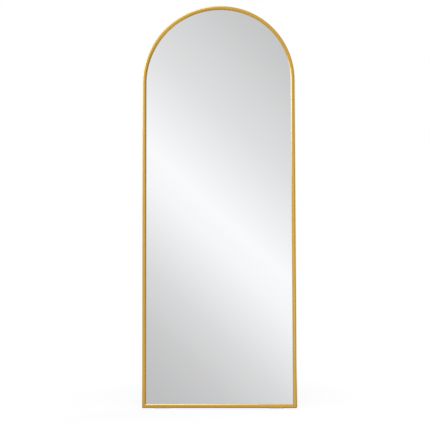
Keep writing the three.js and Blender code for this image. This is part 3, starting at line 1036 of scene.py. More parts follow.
@dataclass
class Frame:
    """The two lengths of hollow section: one bent round the arch, and one along the bottom."""

    outline: Outline
    place: Placement
    face: float = 16 * MM
    depth: float = 25 * MM
    wall: float = 1.4 * MM
    rebate: float = 6 * MM
    lip_back: float = 6.4 * MM
    outer_round: float = 4.5 * MM
    slope_width: float = 6 * MM
    slope_depth: float = 5 * MM
    corner_radius: float = 3.5 * MM
    corner_facets: int = 4
    mitre_gap: float = 0.3 * MM
    edge_break: float = 0.5 * MM
    edge_steps: int = 3
    lip_break: float = 0.25 * MM
    lip_steps: int = 2
    curve_steps: int = 8
    straight_loop: float = 60 * MM

    def wire(self, name: str, wall: float) -> Piece:
        """The section as a closed line, drawn in by a wall: x is the inset and y the depth.

        Args:
            name: The piece's name.
            wall: How far the line is drawn in from the outside of the section.

        Returns:
            The line, without a face.
        """
        pocket = self.face - self.rebate
        lip_back = self.lip_back - wall
        piece = Piece.sheet(name, (wall, wall), (pocket - wall, self.depth - wall))
        with piece.edited():
            piece.score((0, lip_back, 0), (0, 1, 0))
            piece.pick_edges(lambda middle, run: near(middle.x, pocket - wall) and middle.y < lip_back)
            piece.extrude((self.rebate, 0, 0))
            piece.join_faces()
            piece.pick_corners(lambda at: near(at.x, wall) and near(at.y, wall))
            piece.bevel(self.outer_round - wall, self.curve_steps, corners=True)
            self._round_slope(piece, wall)
            if not wall:
                self._break_edges(piece, pocket)
            piece.pick_all()
            bpy.ops.mesh.delete(type="ONLY_FACE")
            piece.pick_all()
            bpy.ops.mesh.remove_doubles(threshold=TINY)
        return piece

    def _round_slope(self, piece: Piece, wall: float) -> None:
        """Rounds the slope into a quarter of an ellipse: as a circle, while the section is made narrow.

        Args:
            piece: The section.
            wall: How far it is drawn in from the outside.
        """
        narrow = (self.slope_depth - wall) / (self.slope_width - wall)
        edge = self.face - wall
        piece.pick_corners(lambda at: True)
        piece.scale((narrow, 1, 1))
        piece.pick_corners(lambda at: near(at.x, edge * narrow) and near(at.y, wall))
        piece.bevel(self.slope_depth - wall, self.curve_steps, corners=True)
        piece.pick_corners(lambda at: True)
        piece.scale((1 / narrow, 1, 1))

    def _break_edges(self, piece: Piece, pocket: float) -> None:
        """Takes the sharpness off the section's two back corners and its lip.

        Args:
            piece: The section.
            pocket: How far in the rebate starts.
        """
        piece.pick_corners(lambda at: near(at.y, self.depth) and (near(at.x, 0) or near(at.x, pocket)))
        piece.bevel(self.edge_break, self.edge_steps, corners=True)
        piece.pick_corners(lambda at: near(at.x, self.face) and near(at.y, self.lip_back))
        piece.bevel(self.lip_break, self.lip_steps, corners=True)

    def section(self, name: str) -> Piece:
        """Draws the outer and the inner line of the section.

        Args:
            name: The piece's name.

        Returns:
            Both lines, as one piece.
        """
        piece = self.wire(name, 0.0)
        piece.add(self.wire(f"{name}_hollow", self.wall))
        return piece

    def build(self) -> None:
        """Makes both rails."""
        self._arch_rail()
        self._bottom_rail()

    def _arch_rail(self) -> None:
        """Draws the section up one side, round the arch and down the other side."""
        half, top, loop = self.outline.half, self.outline.springline, self.straight_loop
        below = -2 * self.face
        rail = self.section("frame_arch_rail").move_to(Matrix.Translation((-half, 0, below)))
        with rail.edited():
            rail.extrude((0, 0, loop - below))
            rail.extrude((0, 0, top - loop))
            bpy.ops.mesh.spin(steps=self.outline.steps, angle=-math.pi, center=(0, 0, top), axis=(0, 1, 0))
            rail.extrude((0, 0, loop - top))
            rail.extrude((0, 0, below - loop))
            for side in Side:
                sign = side.value
                rail.pick_faces(lambda middle, normal: middle.z < loop and middle.x * sign > 0)
                rail.cut((sign * (half + self.mitre_gap), 0, 0), (sign, 0, 1), fill=False)
            self._close(rail)
            self._round_corners(rail, 0.0)
        self._lay_grain(rail, arched=True)
        rail.smooth()
        rail.move_to(self.place.panel).finish(Body.PANEL, SATIN_GOLD)

    def _bottom_rail(self) -> None:
        """Draws the section across from mitre to mitre."""
        half = self.outline.half
        reach = half + 2 * self.face
        upright = Matrix.Rotation(-RIGHT_ANGLE, 4, "Y")
        rail = self.section("frame_bottom_rail").move_to(Matrix.Translation((-reach, 0, 0)) @ upright)
        stops = [self.straight_loop - half, half - self.straight_loop, reach]
        with rail.edited():
            at = -reach
            for stop in stops:
                rail.extrude((stop - at, 0, 0))
                at = stop
            for side in Side:
                sign = side.value
                rail.pick_all()
                rail.cut((sign * half, 0, 0), (-sign, 0, -1), fill=False)
            self._close(rail)
            self._round_corners(rail, RIGHT_ANGLE / 2)
        self._lay_grain(rail, arched=False)
        rail.smooth()
        rail.move_to(self.place.panel).finish(Body.PANEL, SATIN_GOLD)

    def _close(self, rail: Piece) -> None:
        """Fills between the section's two lines at each end, which closes the wall and not the hollow.

        Args:
            rail: The rail, in edit mode.
        """
        for side in Side:
            sign = side.value
            rail.pick_rims(lambda middle: middle.x * sign > 0)
            bpy.ops.mesh.fill()
        rail.face_outwards()

    def _round_corners(self, rail: Piece, start: float) -> None:
        """Files the tips of the mitres round, facet by facet.

        Args:
            rail: The rail.
            start: The angle of the first facet, from the side of the frame towards its bottom.
        """
        radius = self.corner_radius
        facet = RIGHT_ANGLE / 2 / self.corner_facets
        for side in Side:
            sign = side.value
            for step in range(self.corner_facets):
                angle = start + (step + 0.5) * facet
                outwards = Vector((sign * math.cos(angle), 0, -math.sin(angle)))
                centre = Vector((sign * (self.outline.half - radius), 0, radius))
                rail.pick_all()
                rail.cut(centre + radius * outwards, -outwards)

    def _lay_grain(self, rail: Piece, arched: bool) -> None:
        """Lays a map on the rail that runs along it, so that its brushed lines follow the bend.

        Args:
            rail: The rail, in the panel's axes.
            arched: Whether it is the one that goes round the arch.
        """
        half, top = self.outline.half, self.outline.springline
        mesh = rail.thing.data
        grain = mesh.uv_layers.new(name=GRAIN_MAP)
        for loop in mesh.loops:
            x, depth, z = mesh.vertices[loop.vertex_index].co
            if not arched:
                along, inset = x, z
            elif z > top:
                along = top + half * math.atan2(z - top, -x)
                inset = half - math.hypot(x, z - top)
            else:
                along = z if x < 0 else 2 * top + math.pi * half - z
                inset = half - abs(x)
            grain.data[loop.index].uv = (along, inset + depth)


# ---- What the frame holds ----


@dataclass
class MirrorPack:
    """The gasket, the glass, the backing board and the blocks that carry them."""

    frame: Frame
    gasket_thickness: float = 1.0 * MM
    gasket_setback: float = 0.8 * MM
    glass_thickness: float = 4.0 * MM
    board_thickness: float = 3.0 * MM
    edge_room: float = 0.8 * MM
    block_thickness: float = 1.4 * MM
    block_length: float = 60 * MM
    block_spacing: float = 320 * MM
    arris: float = 0.35 * MM
    arris_crease: float = math.radians(20)
    board_break: float = 0.4 * MM
    gasket_break: float = 0.25 * MM

    def __post_init__(self) -> None:
        """Works out where each layer is."""
        self.pocket = self.frame.face - self.frame.rebate
        self.inset = self.pocket + self.edge_room
        self.bottom = self.pocket + 2 * FIT + self.block_thickness
        self.gasket_front = self.frame.lip_back + FIT
        self.glass_front = self.gasket_front + self.gasket_thickness + FIT
        self.glass_back = self.glass_front + self.glass_thickness
        self.board_front = self.glass_back + FIT
        self.board_back = self.board_front + self.board_thickness

    def build(self) -> None:
        """Makes every layer, from front to back."""
        self._gasket()
        self._glass()
        self._board()
        self._blocks()

    def _gasket(self) -> None:
        """A ring: the outline's sheet, inset, opened in the middle and drawn back."""
        width = self.frame.face - self.gasket_setback - self.inset
        gasket = self.frame.outline.sheet("glazing_gasket", self.inset, self.inset, self.gasket_front, 0)
        gasket.ring(width, (0, self.gasket_thickness, 0))
        gasket.break_edges(self.gasket_break)
        gasket.smooth()
        gasket.move_to(self.frame.place.panel).finish(Body.PANEL, GASKET_RUBBER)

    def _glass(self) -> None:
        """The silvered glass, with a fine arris round both of its faces."""
        glass = self.frame.outline.sheet(
            "mirror_glass", self.inset, self.bottom, self.glass_front, self.glass_thickness
        )
        glass.break_edges(self.arris)
        glass.smooth(self.arris_crease)
        mesh = glass.thing.data
        mesh.materials.clear()
        skins = (SILVERED_GLASS, GLASS_EDGE, MIRROR_PAINT)
        for skin in skins:
            mesh.materials.append(skin.material())
        for face in mesh.polygons:
            level = abs(face.normal.y) > 1 - TINY
            flat_skin = MIRROR_PAINT if face.normal.y > 0 else SILVERED_GLASS
            face.material_index = skins.index(flat_skin if level else GLASS_EDGE)
        glass.move_to(self.frame.place.panel).finish(Body.PANEL, SILVERED_GLASS, keep_materials=True)

    def _board(self) -> None:
        """The hardboard behind the glass."""
        board = self.frame.outline.sheet(
            "backing_board", self.inset, self.bottom, self.board_front, self.board_thickness
        )
        board.break_edges(self.board_break)
        board.smooth()
        board.move_to(self.frame.place.panel).finish(Body.PANEL, HARDBOARD)

    def _blocks(self) -> None:
        """Two plastic blocks with rounded edges, which the glass and the board stand on."""
        half = self.block_length / 2
        low = self.pocket + FIT
        master = Piece.block(
            "block", (-half, self.glass_front, low), (half, self.board_back, low + self.block_thickness)
        )
        master.break_edges(self.gasket_break)
        master.smooth()
        at = (self.block_spacing / 2, 0, 0)
        master.pair("setting_block", self.frame.place.panel, at, Body.PANEL, BLACK_PLASTIC)


# ---- Screws and clips ----


@dataclass
class Screws:
    """The pan-head screw that is used all over the back, modelled once."""

    place: Placement
    radius: float = 1.75 * MM
    length: float = 10 * MM
    point: float = 2.5 * MM
    head_radius: float = 3.4 * MM
    head_height: float = 2.1 * MM
    # Shares of the head: how wide its underside is, how high its rim, and how high its dome.
    head_under: float = 0.97
    head_rim: float = 0.1
    head_dome: float = 0.55
    dome_steps: int = 5
    top_radius: float = 1.5 * MM
    recess_span: float = 3.6 * MM
    recess_width: float = 0.9 * MM
    recess_depth: float = 1.2 * MM
    pitch: float = 0.9 * MM
    thread_depth: float = 0.3 * MM
    tip_radius: float = 0.2 * MM
    steps: int = 24

    def __post_init__(self) -> None:
        """Models the master: a turned body whose head is cut crosswise."""
        body = Piece.turned("screw", self._profile(), self.steps)
        span, width = self.recess_span / 2, self.recess_width / 2
        floor, top = self.head_height - self.recess_depth, self.head_height + self.recess_depth
        cross = Piece.block("cross", (-span, -width, floor), (span, width, top))
        cross.combine(Piece.block("bar", (-width, -span, floor), (width, span, top)), "UNION")
        body.combine(cross, "DIFFERENCE")
        body.smooth()
        self.master = body

    def _profile(self) -> list[Station]:
        """Works out the screw's outline.

        Returns:
            Its stations, from its tip to the top of its head.
        """
        stations = [(-self.length, self.tip_radius), (self.point - self.length, self.radius)]
        at = self.point - self.length
        while at < -2 * self.pitch:
            stations.append((at + self.pitch / 2, self.radius - self.thread_depth))
            stations.append((at + self.pitch, self.radius))
            at += self.pitch
        stations += [(0, self.radius), (TINY, self.head_radius * self.head_under)]
        stations.append((self.head_height * self.head_rim, self.head_radius))
        shoulder = (self.head_height * (1 - self.head_dome), self.head_radius)
        return stations + dome(shoulder, (self.head_height, self.top_radius), self.dome_steps)

    def add(self, name: str, x: float, z: float, seat: float, turn: float) -> None:
        """Drives a screw into the back of the panel.

        Args:
            name: The screw's name.
            x: Its place across.
            z: Its place up the panel.
            seat: The depth of what its head lies on.
            turn: How far its recess is turned.
        """
        at = Matrix.Translation((x, seat + FIT, z)) @ Axis.BACK.value @ Matrix.Rotation(turn, 4, "Z")
        screw = self.master.copied(name).move_to(self.place.panel @ at)
        screw.finish(Body.PANEL, ZINC)


@dataclass
class Clips:
    """The bent clips that hold the backing board, their screws, and the screws of the corner keys."""

    pack: MirrorPack
    screws: Screws
    thickness: float = 1.2 * MM
    width: float = 20 * MM
    tongue: float = 13 * MM
    foot_inset: float = 1.5 * MM
    low: float = 330 * MM
    high: float = 900 * MM
    arch_angle: float = math.radians(45)
    bend: float = 0.8 * MM
    bend_steps: int = 4
    corner: float = 2.5 * MM
    corner_steps: int = 4
    edge_break: float = 0.15 * MM
    hole_play: float = 0.3 * MM
    screw_turn: float = 0.5
    key_screw: float = 32 * MM
    key_turns: tuple[float, float] = (0.3, 1.1)

    def build(self) -> None:
        """Makes the clips, and drives their screws and those of the corner keys."""
        rails = self.pack.frame
        middle = self.pack.pocket / 2
        master = self._master()
        for index, (name, x, z, turn) in enumerate(self._places()):
            at = Matrix.Translation((x, 0, z)) @ Matrix.Rotation(turn, 4, "Y")
            clip = master.copied(f"retainer_clip_{name}").move_to(rails.place.panel @ at)
            clip.finish(Body.PANEL, CLIP_STEEL)
            screw = at @ Vector((middle, 0, 0))
            seat = rails.depth + FIT + self.thickness
            self.screws.add(f"retainer_screw_{name}", screw.x, screw.z, seat, self.screw_turn * index)
        master.discard()
        for side in Side:
            edge = side.value * rails.outline.half
            at_side = (edge - side.value * middle, self.key_screw)
            at_bottom = (edge - side.value * self.key_screw, middle)
            for word, at, turn in zip(("side", "bottom"), (at_side, at_bottom), self.key_turns):
                self.screws.add(f"corner_screw_{side.word}_{word}", *at, rails.depth, turn)

    def _places(self) -> list[tuple[str, float, float, float]]:
        """Works out where the clips are.

        Returns:
            For each, its name, its place across and up, and the turn that points its tongue inwards.
        """
        outline = self.pack.frame.outline
        half, top = outline.half, outline.springline
        found = []
        for side in Side:
            turn = 0.0 if side is Side.LEFT else math.pi
            angle = RIGHT_ANGLE - side.value * self.arch_angle
            found.append((f"{side.word}_low", side.value * half, self.low, turn))
            found.append((f"{side.word}_high", side.value * half, self.high, turn))
            arch = (half * math.cos(angle), top + half * math.sin(angle))
            found.append((f"{side.word}_arch", *arch, math.pi - angle))
        found.append(("bottom", 0.0, 0.0, -RIGHT_ANGLE))
        return found

    def _master(self) -> Piece:
        """Draws a strip in a Z, rounds its folds, gives it its thickness and drills it.

        Returns:
            The clip.
        """
        foot = self.pack.frame.depth + FIT
        tongue = self.pack.board_back + FIT
        web = self.pack.pocket + 2 * FIT
        half = self.width / 2
        strip = Piece.sheet("clip", (self.foot_inset, -half), (web, half))
        strip.move_to(Matrix.Translation((0, foot, 0)) @ Matrix.Rotation(RIGHT_ANGLE, 4, "X"))
        with strip.edited():
            strip.pick_edges(lambda middle, run: near(middle.x, web))
            strip.extrude((0, tongue - foot, 0))
            strip.extrude((self.tongue, 0, 0))
            for fold, radius in ((foot, self.bend), (tongue, self.bend + self.thickness)):
                strip.pick_edges(
                    lambda middle, run: near(middle.x, web) and near(middle.y, fold) and near(run.x, 0)
                )
                strip.bevel(radius, self.bend_steps)
            tip = web + self.tongue
            strip.pick_corners(lambda at: near(at.x, tip) or near(at.x, self.foot_inset))
            strip.bevel(self.corner, self.corner_steps, corners=True)
            strip.pick_all()
            bpy.ops.mesh.normals_make_consistent(inside=False)
            strip.pick_faces(lambda middle, normal: near(middle.y, foot))
            mesh = bmesh.from_edit_mesh(strip.thing.data)
            if any(face.select and face.normal.y < 0 for face in mesh.faces):
                strip.pick_all()
                bpy.ops.mesh.flip_normals()
        strip.modify("SOLIDIFY", thickness=self.thickness, offset=1.0, use_even_offset=True)
        drill = Piece.disc("drill", self.screws.radius + self.hole_play, self.screws.steps)
        with drill.edited():
            drill.extrude((0, 0, 2 * self.pack.frame.depth))
            drill.face_outwards()
        drill.move_to(Matrix.Translation((self.pack.pocket / 2, 0, 0)) @ Axis.BACK.value)
        strip.combine(drill, "DIFFERENCE")
        strip.break_edges(self.edge_break, 1)
        strip.smooth()
        return strip


# ---- The brace and the hinges ----


@dataclass
class Brace:
    """The shallow channel across the back that carries the hinges."""

    pack: MirrorPack
    screws: Screws
    pivot_up: float = 1150 * MM
    height: float = 44 * MM
    thickness: float = 2 * MM
    flange: float = 7 * MM
    end_inset: float = 2 * MM
    screw_spacing: float = 24 * MM
    bend: float = 1.7 * MM
    end_corner: float = 3.0 * MM
    round_steps: int = 5
    edge_break: float = 0.35 * MM
    screw_turn: float = 0.7

    def __post_init__(self) -> None:
        """Works out its place behind the frame."""
        self.front = self.pack.frame.depth + FIT
        self.back = self.front + self.thickness

    def build(self) -> None:
        """Draws the flanges out of a plate and rounds the folds, then drives its screws."""
        outline = self.pack.frame.outline
        half = outline.half - self.end_inset
        inside = outline.half - self.pack.pocket - 2 * FIT
        low, high = self.pivot_up - self.height / 2, self.pivot_up + self.height / 2
        brace = Piece.block("back_brace", (-half, self.front, low), (half, self.back, high))
        with brace.edited():
            for x in (-inside, inside):
                brace.score((x, 0, 0), (1, 0, 0))
            for z in (low + self.thickness, high - self.thickness):
                brace.score((0, 0, z), (0, 0, 1))
            brace.pick_faces(
                lambda middle, normal: near(middle.y, self.front)
                and abs(middle.x) < inside
                and abs(middle.z - self.pivot_up) > self.height / 2 - self.thickness
            )
            brace.extrude((0, self.thickness - self.flange, 0))
            brace.face_outwards()
            brace.pick_edges(
                lambda middle, run: near(middle.y, self.back)
                and near(run.z, 0)
                and abs(middle.x) < inside
                and near(abs(middle.z - self.pivot_up), self.height / 2)
            )
            brace.bevel(self.bend, self.round_steps)
            brace.pick_edges(lambda middle, run: near(abs(middle.x), half) and abs(run.y) > TINY)
            brace.bevel(self.end_corner, self.round_steps)
        brace.break_edges(self.edge_break)
        brace.smooth()
        brace.move_to(self.pack.frame.place.panel).finish(Body.PANEL, POWDER_BLACK)
        for side in Side:
            x = side.value * (outline.half - self.pack.pocket / 2)
            for word, sign in (("upper", 1), ("lower", -1)):
                z = self.pivot_up + sign * self.screw_spacing / 2
                name = f"brace_screw_{side.word}_{word}"
                self.screws.add(name, x, z, self.back, self.screw_turn * sign)


@dataclass
class Hinges:
    """The two brackets on the brace, and the bolts that the stand swings on."""

    brace: Brace
    place: Placement
    spacing: float = 420 * MM
    thickness: float = 2.5 * MM
    width: float = 60 * MM
    corner: float = 4 * MM
    corner_steps: int = 6
    screw_spacing: float = 44 * MM
    screw_turn: float = 0.4
    ear_radius: float = 9 * MM
    # How much of the ear's radius its end is rounded by: all but a hair, so that no faces fall together.
    ear_round: float = 0.998
    ear_steps: int = 10
    ear_base: float = 30 * MM
    standoff: float = 11 * MM
    tube_radius: float = 7 * MM
    bolt_radius: float = 3 * MM
    # The chamfer of the bolt's end as a share of its radius, and the thread's depth as a share of that.
    bolt_chamfer: float = 0.15
    thread_depth: float = 0.7
    thread_turns: int = 10
    hole_play: float = 0.3 * MM
    head_radius: float = 5.5 * MM
    head_height: float = 3.2 * MM
    # How high the head's rim is, as a share of the head's height.
    head_rim: float = 0.22
    head_top: float = 2.6 * MM
    head_steps: int = 7
    socket_radius: float = 2.1 * MM
    socket_depth: float = 1.8 * MM
    bolt_end: float = 1.5 * MM
    washer_radius: float = 6.5 * MM
    washer_thickness: float = 1 * MM
    nut_flats: float = 10 * MM
    nut_height: float = 6 * MM
    nut_collar: float = 1.6 * MM
    # Shares of the nut's corner radius: the flat of its faces, how wide its round is, and how high its rims.
    nut_face: float = 0.90
    nut_round: float = 1.01
    nut_rim: float = 0.07
    # Shares of half the nut's width: how wide the collar is below and at its top.
    collar_side: float = 0.86
    collar_top: float = 0.78
    edge_break: float = 0.3 * MM
    steps: int = 40

    def __post_init__(self) -> None:
        """Works out where the ears are, from the middle of the tube."""
        self.front = self.brace.back + FIT
        self.back = self.front + self.thickness
        self.pivot_back = self.back + self.standoff
        self.hole = self.bolt_radius + self.hole_play
        self.ear_inner = self.tube_radius + self.washer_thickness + 2 * FIT
        self.ear_outer = self.ear_inner + self.thickness

    def build(self) -> None:
        """Makes one hinge, and copies it to both sides."""
        washer_at = self.tube_radius + FIT
        bracket, bolt, nut, washer = self._bracket(), self._bolt(), self._nut(), self._washer()
        for side in Side:
            sign, word = side.value, side.word
            centre = Matrix.Translation((sign * self.spacing / 2, 0, self.brace.pivot_up))
            plate = bracket.copied(f"hinge_bracket_{word}").move_to(self.place.panel @ centre)
            plate.finish(Body.PANEL, POWDER_BLACK)
            # Each is turned to point out of the mirror's side, and stands at its distance from the tube.
            fitted = [
                (bolt, f"pivot_bolt_{word}", self.ear_outer + FIT, sign, BOLT_STEEL),
                (nut, f"pivot_nut_{word}", self.ear_outer + FIT, -sign, BOLT_STEEL),
                (washer, f"pivot_washer_{word}_outer", washer_at, sign, NYLON),
                (washer, f"pivot_washer_{word}_inner", washer_at, -sign, NYLON),
            ]
            for master, name, distance, way, finish in fitted:
                axle = Matrix.Translation((way * distance, self.pivot_back, 0))
                turn = Matrix.Rotation(way * RIGHT_ANGLE, 4, "Y")
                piece = master.copied(name).move_to(self.place.panel @ centre @ axle @ turn)
                piece.finish(Body.PANEL, finish)
            for where, way in (("outer", 1), ("inner", -1)):
                x = sign * (self.spacing / 2 + way * self.screw_spacing / 2)
                name = f"bracket_screw_{word}_{where}"
                self.brace.screws.add(name, x, self.brace.pivot_up, self.back, self.screw_turn * way)
        for master in (bracket, bolt, nut, washer):
            master.discard()

    def _bracket(self) -> Piece:
        """Adds two drilled ears to a plate with rounded corners.

        Returns:
            The bracket.
        """
        half, tall = self.width / 2, self.brace.height / 2
        plate = Piece.block("bracket", (-half, self.front, -tall), (half, self.back, tall))
        with plate.edited():
            plate.pick_edges(lambda middle, run: abs(run.y) > TINY)
            plate.bevel(self.corner, self.corner_steps)
        for low, high in ((self.ear_inner, self.ear_outer), (-self.ear_outer, -self.ear_inner)):
            plate.combine(self._ear(low, high), "UNION")
        for offset in (-self.screw_spacing / 2, self.screw_spacing / 2):
            drill = self._rod(self.brace.screws.radius + self.hole_play, 4 * self.thickness)
            drill.move_to(Matrix.Translation((offset, self.front - self.thickness, 0)) @ Axis.BACK.value)
            plate.combine(drill, "DIFFERENCE")
        plate.break_edges(self.edge_break)
        plate.smooth()
        return plate

    def _ear(self, low: float, high: float) -> Piece:
        """One ear: a block that widens to its base, with a round end and a hole.

        Args:
            low: Where it starts, across.
            high: Where it ends, across.

        Returns:
            The ear.
        """
        radius, base = self.ear_radius, self.ear_base / 2
        tip = self.pivot_back + radius
        ear = Piece.block("ear", (low, self.front + TINY, -radius), (high, tip, radius))
        with ear.edited():
            for depth in (self.back, self.pivot_back):
                ear.score((0, depth, 0), (0, 1, 0))
            ear.pick_corners(lambda at: at.y < self.back + TINY)
            ear.scale((1, 1, base / radius))
            ear.pick_edges(lambda middle, run: near(middle.y, tip) and abs(run.x) > TINY)
            ear.bevel(radius * self.ear_round, self.ear_steps)
            ear.face_outwards()
        drill = self._rod(self.hole, self.width)
        drill.move_to(Matrix.Translation((-self.width / 2, self.pivot_back, 0)) @ Axis.ACROSS.value)
        ear.combine(drill, "DIFFERENCE")
        return ear

    def _rod(self, radius: float, length: float) -> Piece:
        """A plain rod up from the origin, to drill with."""
        return Piece.turned("rod", [(0, radius), (length, radius)], self.steps)

    def _bolt(self) -> Piece:
        """Turns a button-head bolt and sinks a hexagonal socket in it.

        Returns:
            The bolt, with the underside of its head at the origin.
        """
        length = 2 * (self.ear_outer + FIT) + FIT + self.nut_height + self.bolt_end
        chamfer = self.bolt_radius * self.bolt_chamfer
        stations = [(-length, self.bolt_radius - chamfer), (chamfer - length, self.bolt_radius)]
        pitch = 2 * chamfer
        for turn in range(self.thread_turns):
            at = chamfer - length + (turn + 0.5) * pitch
            stations.append((at, self.bolt_radius - chamfer * self.thread_depth))
            stations.append((at + pitch / 2, self.bolt_radius))
        stations += [(0, self.bolt_radius), (TINY, self.head_radius - TINY)]
        rim = (self.head_height * self.head_rim, self.head_radius)
        stations += dome(rim, (self.head_height, self.head_top), self.head_steps)
        bolt = Piece.turned("bolt", stations, self.steps)
        sides = [(height, self.socket_radius) for height in (0, self.head_height)]
        socket = Piece.turned("socket", sides, HEXAGON)
        socket.move_to(Matrix.Translation((0, 0, self.head_height - self.socket_depth)))
        bolt.combine(socket, "DIFFERENCE")
        bolt.smooth()
        return bolt

    def _nut(self) -> Piece:
        """Turns the rims of a hexagon round, and adds a collar.

        Returns:
            The lock nut.
        """
        corner = self.nut_flats / 2 / math.cos(math.pi / HEXAGON)
        height = self.nut_height - self.nut_collar
        nut = Piece.turned("nut", [(0, corner), (height, corner)], HEXAGON)
        face, widest, rim = corner * self.nut_face, corner * self.nut_round, corner * self.nut_rim
        rims = [(-TINY, face), (rim, widest), (height - rim, widest), (height + TINY, face)]
        nut.combine(Piece.turned("rims", rims, self.steps), "INTERSECT")
        side = self.nut_flats / 2 * self.collar_side
        collar = [(height - self.edge_break, side), (self.nut_height - self.edge_break, side)]
        collar.append((self.nut_height, self.nut_flats / 2 * self.collar_top))
        nut.combine(Piece.turned("collar", collar, self.steps), "UNION")
        bore = self._rod(self.hole, 3 * self.nut_height)
        bore.move_to(Matrix.Translation((0, 0, -self.nut_height)))
        nut.combine(bore, "DIFFERENCE")
        nut.smooth()
        return nut

    def _washer(self) -> Piece:
        """Opens a disc in its middle and draws it up.

        Returns:
            The washer.
        """
        washer = Piece.disc("washer", self.washer_radius, self.steps)
        washer.ring(self.washer_radius - self.hole, (0, 0, self.washer_thickness))
        washer.break_edges(self.edge_break / 2)
        washer.smooth()
        return washer


# ---- The stand ----


@dataclass
class Stand:
    """The U of bent tube, its end plugs and its rubber feet, round the pivots."""

    hinges: Hinges
    place: Placement
    radius: float = 7 * MM
    wall: float = 1.2 * MM
    bend_radius: float = 45 * MM
    bend_steps: int = 16
    cap_head: float = 2 * MM
    cap_stem: float = 7 * MM
    # Where the stem's taper starts, as a share of its length, and how wide its tip is.
    cap_taper: tuple[float, float] = (0.85, 0.93)
    # Shares of the head: how high its rim is, and how wide its top.
    cap_rim: float = 0.35
    cap_top: float = 0.6
    cap_steps: int = 6
    foot_radius: float = 12 * MM
    foot_flat: float = 9 * MM
    foot_length: float = 40 * MM
    foot_spacing: float = 260 * MM
    foot_round: float = 1.6 * MM
    foot_steps: int = 4
    foot_crease: float = math.radians(40)
    groove_depth: float = 0.7 * MM
    groove_width: float = 2.4 * MM
    grooves: int = 5
    steps: int = 32

    def __post_init__(self) -> None:
        """Works out how far the legs reach, up to their stop and down to the floor."""
        opened = self.place.lean + self.place.splay
        room = self.hinges.standoff - self.radius * math.cos(opened) - FIT
        self.heel = room / math.sin(opened)
        self.leg = (self.place.pivot.z - self.foot_flat) / math.cos(self.place.splay)

    def build(self) -> None:
        """Makes the tube, the plugs and the feet."""
        self._tube()
        self._caps()
        self._feet()

    def _tube(self) -> None:
        """Draws two circles down one leg, round the bends and up the other leg."""
        half = self.hinges.spacing / 2
        turn_at = half - self.bend_radius
        top = self.heel - self.cap_head - FIT
        bottom = self.bend_radius - self.leg
        tube = Piece.disc("stand_tube", self.radius, self.steps, filled=False)
        tube.add(Piece.disc("bore", self.radius - self.wall, self.steps, filled=False))
        tube.move_to(Matrix.Translation((-half, 0, top)))
        with tube.edited():
            tube.extrude((0, 0, bottom - top))
            for x in (-turn_at, turn_at):
                bpy.ops.mesh.spin(
                    steps=self.bend_steps, angle=RIGHT_ANGLE, center=(x, 0, bottom), axis=(0, 1, 0)
                )
                if x < 0:
                    tube.extrude((2 * turn_at, 0, 0))
            tube.extrude((0, 0, top - bottom))
            for side in Side:
                tube.pick_rims(lambda middle: middle.x * side.value > 0)
                bpy.ops.mesh.fill()
            tube.face_outwards()
        sides = [(at, self.hinges.hole) for at in (-2 * half, 2 * half)]
        drill = Piece.turned("drill", sides, self.steps)
        tube.combine(drill.move_to(Axis.ACROSS.value), "DIFFERENCE")
        tube.smooth()
        tube.move_to(self.place.stand).finish(Body.STAND, POWDER_BLACK)

    def _caps(self) -> None:
        """A plug with a domed head for each top end of the tube."""
        stem = self.radius - self.wall - FIT
        start, tip = self.cap_taper
        stations = [(-self.cap_stem, stem * tip), (-self.cap_stem * start, stem), (0, stem)]
        stations.append((TINY, self.radius - TINY))
        rim = (self.cap_head * self.cap_rim, self.radius)
        stations += dome(rim, (self.cap_head, self.radius * self.cap_top), self.cap_steps)
        master = Piece.turned("cap", stations, self.steps)
        master.smooth()
        at = (self.hinges.spacing / 2, 0, self.heel - self.cap_head)
        master.pair("tube_cap", self.place.stand, at, Body.STAND, BLACK_PLASTIC)

    def _feet(self) -> None:
        """A grooved rubber sleeve with a flat, for each end of the foot bar."""
        half, outer = self.foot_length / 2, self.foot_radius
        rim = (half - self.foot_round, outer)
        end = dome(rim, (half, outer - self.foot_round), self.foot_steps)
        stations = [(-height, out) for height, out in reversed(end)]
        spacing = (self.foot_length - 4 * self.foot_round) / self.grooves
        floor = outer - self.groove_depth
        for groove in range(self.grooves):
            middle = (groove - (self.grooves - 1) / 2) * spacing
            for share, out in ((-1 / 2, outer), (-1 / 4, floor), (1 / 4, floor), (1 / 2, outer)):
                stations.append((middle + share * self.groove_width, out))
        master = Piece.turned("foot", stations + end, 2 * self.steps)
        sides = [(at, self.radius + FIT) for at in (-2 * half, 2 * half)]
        master.combine(Piece.turned("bore", sides, self.steps), "DIFFERENCE")
        master.move_to(Axis.ACROSS.value)
        with master.edited():
            master.cut((0, 0, -self.foot_flat), (0, 0, 1))
        master.smooth(self.foot_crease)
        level = Matrix.Translation((0, 0, -self.leg)) @ Matrix.Rotation(-self.place.splay, 4, "X")
        at = (self.foot_spacing / 2, 0, 0)
        master.pair("stand_foot", self.place.stand @ level, at, Body.STAND, FOOT_RUBBER)


# ---- Pads and bumpers ----


